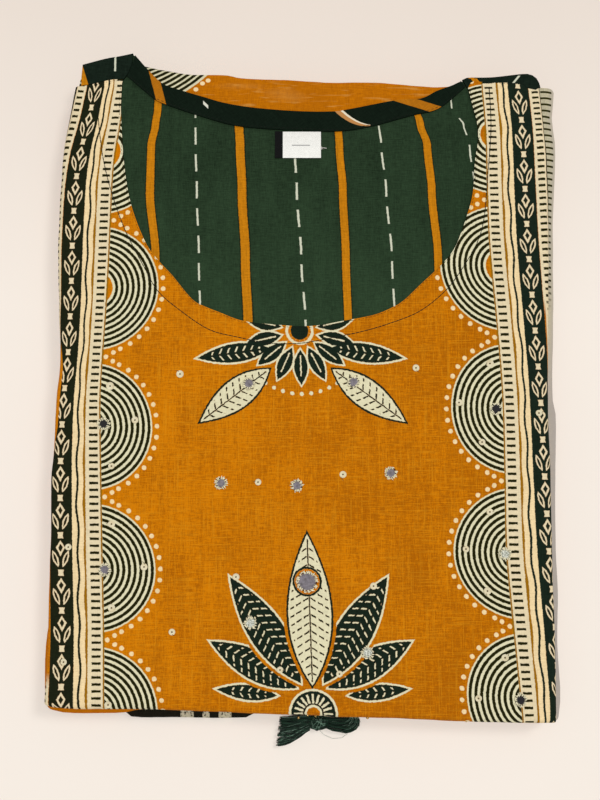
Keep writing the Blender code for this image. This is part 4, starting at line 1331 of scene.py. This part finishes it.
def make_tassel():
    """A bound head with a fan of threads to the left and a bunch of looped ends to the right."""
    # light gathers pale threads painted in as glints on the knot, the fan and the loops' turns, and one real
    # loose thread
    bits, light = Bits(), Bits()
    (x0, x1), (y0, y1), (z0, z1) = HEAD["x"], HEAD["y"], HEAD["z"]
    cy, cz = (y0 + y1) / 2, (z0 + z1) / 2
    ry, rz = (y1 - y0) / 2, (z1 - z0) / 2
    rows, sides = 24, 28
    core = []
    for i in range(rows + 1):
        f = i / rows
        bulge = 0.6 + 0.32 * math.sin(math.pi * f)
        ring = []
        for a in angles(sides):
            lump = bulge * (1 + 0.06 * wave(a * 9, f * 40, 6, 95))
            ring.append((x0 + (x1 - x0) * f, cy + ry * lump * math.cos(a), cz + rz * lump * math.sin(a)))
        core.append(ring)
    bits.skin(core)
    for lean, aside, off, thick in KNOT:  # the threads wound round it
        axis = Vector((math.cos(lean) * math.cos(aside), math.sin(lean), math.sin(aside))).normalized()
        e1 = axis.orthogonal().normalized()
        e2 = axis.cross(e1)
        path = []
        for k in range(21):
            a = 2 * math.pi * k / 20
            p = axis * off + (e1 * math.cos(a) + e2 * math.sin(a)) * math.sqrt(1 - off * off)
            path.append(((x0 + x1) / 2 + p.x * 5.6, cy + p.y * ry * 0.92, cz + p.z * (rz - 0.2)))
        bits.tube(path, [thick] * 21, 6)
        # painted highlight: a pale thread along each winding
        light.tube([(x, y, z + 0.44) for x, y, z in path[::-1]], [0.15] * 21, 4)

    def fan_thread(to, thick, low=0.0):
        u, v = rng.random(), max(rng.random(), low)
        root = (x0 + 1.0, cy + (u - 0.5) * 2 * ry * 0.82, cz + (v - 0.5) * 2 * rz * 0.6)
        end = (-16.6 + 2.4 * u + rng.uniform(-1.6, 1.3), -229.2 + 18.4 * u + rng.uniform(-0.5, 0.5),
               0.7 + 3.9 * v + rng.uniform(-0.2, 0.5))
        sag = rng.uniform(-1.2, 0.4) - 1.1 * (1.0 - u)
        curl = rng.uniform(-0.6, 0.6)
        path = []
        for s in (0, 0.14, 0.3, 0.46, 0.62, 0.78, 0.9, 1.0):
            path.append((root[0] + (end[0] - root[0]) * s,
                         root[1] + (end[1] - root[1]) * s**1.1 + sag * math.sin(math.pi * s)
                         + curl * math.sin(2 * math.pi * s),
                         max(0.35, root[2] + (end[2] - root[2]) * s + 0.9 * v * math.sin(math.pi * s))))
        to.tube(path, [thick * (1 + 0.2 * curl)] * 7 + [thick * 0.7], 4)

    def looped_thread(to, thick, w, v, first=0):
        """A loop that leaves the knot to the right and turns back under the kurta. w runs from 0
        outside to 1 inside."""
        z_near, z_far = cz + (v - 0.5) * 2 * rz * 0.6, 0.8 + 3.7 * v
        mx, my, tall = 27 - 3.5 * w, -213.6 + 3.9 * w, 7.2 - 6.0 * w
        wide = 9.2 - 5.5 * w + rng.uniform(-0.5, 0.4)
        turn = [(mx + wide * math.cos(math.radians(a)), my + tall * math.sin(math.radians(a)))
                for a in (-118, -92, -68, -44, -20, 5, 32, 60)]
        root = (x1 - 1.2, cy - 3.6 + 7.4 * w)
        flow = [root, ((root[0] + turn[0][0]) / 2, (root[1] + turn[0][1]) / 2 - 0.5)] + turn
        wave_y = rng.uniform(-0.35, 0.35)
        path = [(px, py + wave_y * math.sin(k), z_near + (z_far - z_near) * k / 9)
                for k, (px, py) in enumerate(flow)][first:]
        to.tube(path, [thick] * (len(path) - 1) + [thick * 0.7], 4)

    for k in range(THREADS["fan"]):
        fan_thread(bits, 0.37)
    for k in range(THREADS["loops"]):
        looped_thread(bits, 0.3, rng.random(), rng.random())
    # painted highlights: pale threads on top of the fan and round the loops' turns
    for k in range(THREADS["glint fan"]):
        fan_thread(light, 0.13, 0.9)
    for k in range(THREADS["glint loops"]):
        looped_thread(light, 0.12, 0.04 + 0.09 * k + rng.uniform(-0.03, 0.03), 1.03,
                      rng.choice((1, 3, 4, 5)))
    # a loose thread below the tassel, in the same pale thread
    loose = [(10.0, -219.0, 1.4), (13.0, -222.4, 0.7), (18.5, -224.8, 0.3), (24.5, -224.4, 0.3),
             (28.2, -221.8, 0.4), (27.4, -219.6, 1.2)]
    light.tube(loose, [0.09] * 6, 4)
    light.make("tassel_glint_and_loose_threads",
               thread_look("pale green thread, painted glints and a loose end", (0.10, 0.17, 0.125), 0.45, 0.0, 9.0, 4.5, 0.15))
    deep = thread_look("dark green tassel thread", (0.0058, 0.0200, 0.0110), 0.55, 0.0, 9.0, 5.5, 0.10)
    return bits.make("dupatta_tassel_threads", deep)


tassel = make_tassel()

# ---------------------------------------------------------------- what each piece stands for: the solids' parts it replaces are hidden

for piece, node, slot in ((front, "kurta_front", "ochre_cotton"), (back, "kurta_back", "dark_green_cotton"),
                          (facing, "back_neck_facing", "deep_green_facing"),
                          (under, "kurta_folded_layers", "ochre_under_layers"),
                          (trousers, "trousers_fold", "ochre_trousers"),
                          (dupatta, "dupatta_fold", "dark_dupatta"),
                          (tassel, "dupatta_tassel", "dark_green_thread"),
                          (white, "size_label", "white_label"), (black, "neck_label", "black_label")):
    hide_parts(node)
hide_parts(*[f"mirror_{k:02d}" for k in range(1, 14)])

# ---------------------------------------------------------------- surface, light and camera

floor_look, shader = new_look("pale table", 0.75, 0.0, 0.0, 0.2)
fx, fy, _ = own_places(1.0)
# painted shade: the table's colour darkens towards the far side
painted_shade_far_up = calc("MULTIPLY_ADD", fy, 4.2, -0.25, clamp=True)
table = blend((0.905, 0.838, 0.77), (0.80, 0.715, 0.645), painted_shade_far_up)
set_colour(shader, shade(table, 0.98 + cloud(fx * 5.0, fy * 5.0, 2.0, 99.0) * 0.04))
mesh = bpy.data.meshes.new("table_surface")
mesh.from_pydata([(-3, -3, 0), (3, -3, 0), (3, 3, 0), (-3, 3, 0)], [], [(0, 1, 2, 3)])
mesh.materials.append(floor_look)
floor = bpy.data.objects.new("table_surface", mesh)
bpy.context.scene.collection.objects.link(floor)


def lamp(name, kind, place, towards, energy, size, colour):
    data = bpy.data.lights.new(name, kind)
    data.energy = energy
    data.color = colour
    if kind == "AREA":
        data.shape = "DISK"
        data.size = size
    else:
        data.angle = size
    made = bpy.data.objects.new(name, data)
    made.location = place
    made.rotation_euler = (Vector(towards) - Vector(place)).to_track_quat("-Z", "Y").to_euler()
    bpy.context.scene.collection.objects.link(made)
    return made


lamp("overhead", "SUN", (0.0, -0.02, 1.0), (0, 0, 0), 1.92, math.radians(5), (1.0, 0.985, 0.965))
lamp("key", "SUN", (0.62, 0.50, 1.0), (0, 0, 0), 0.62, math.radians(16), (1.0, 0.975, 0.94))
world = bpy.data.worlds.new("soft room")
world.use_nodes = True
world.node_tree.nodes["Background"].inputs[0].default_value = (1.0, 0.99, 0.98, 1)
world.node_tree.nodes["Background"].inputs[1].default_value = 0.26
bpy.context.scene.world = world
bpy.context.scene.view_settings.view_transform = "Standard"

CAMERA_TILT, CAMERA_AWAY, TOP_PLANE = math.radians(6.3), 650.0, 22.7
camera_data = bpy.data.cameras.new("camera")
camera_data.lens = 45.0
camera_data.clip_start = 0.05
camera = bpy.data.objects.new("camera", camera_data)
camera.location = ((-2.5 - MIDDLE[0]) * MM,
                   (-6.5 - MIDDLE[1] - CAMERA_AWAY * math.sin(CAMERA_TILT)) * MM,
                   (TOP_PLANE + CAMERA_AWAY * math.cos(CAMERA_TILT)) * MM)
camera.rotation_euler = (CAMERA_TILT, 0, 0)
bpy.context.scene.collection.objects.link(camera)
bpy.context.scene.camera = camera
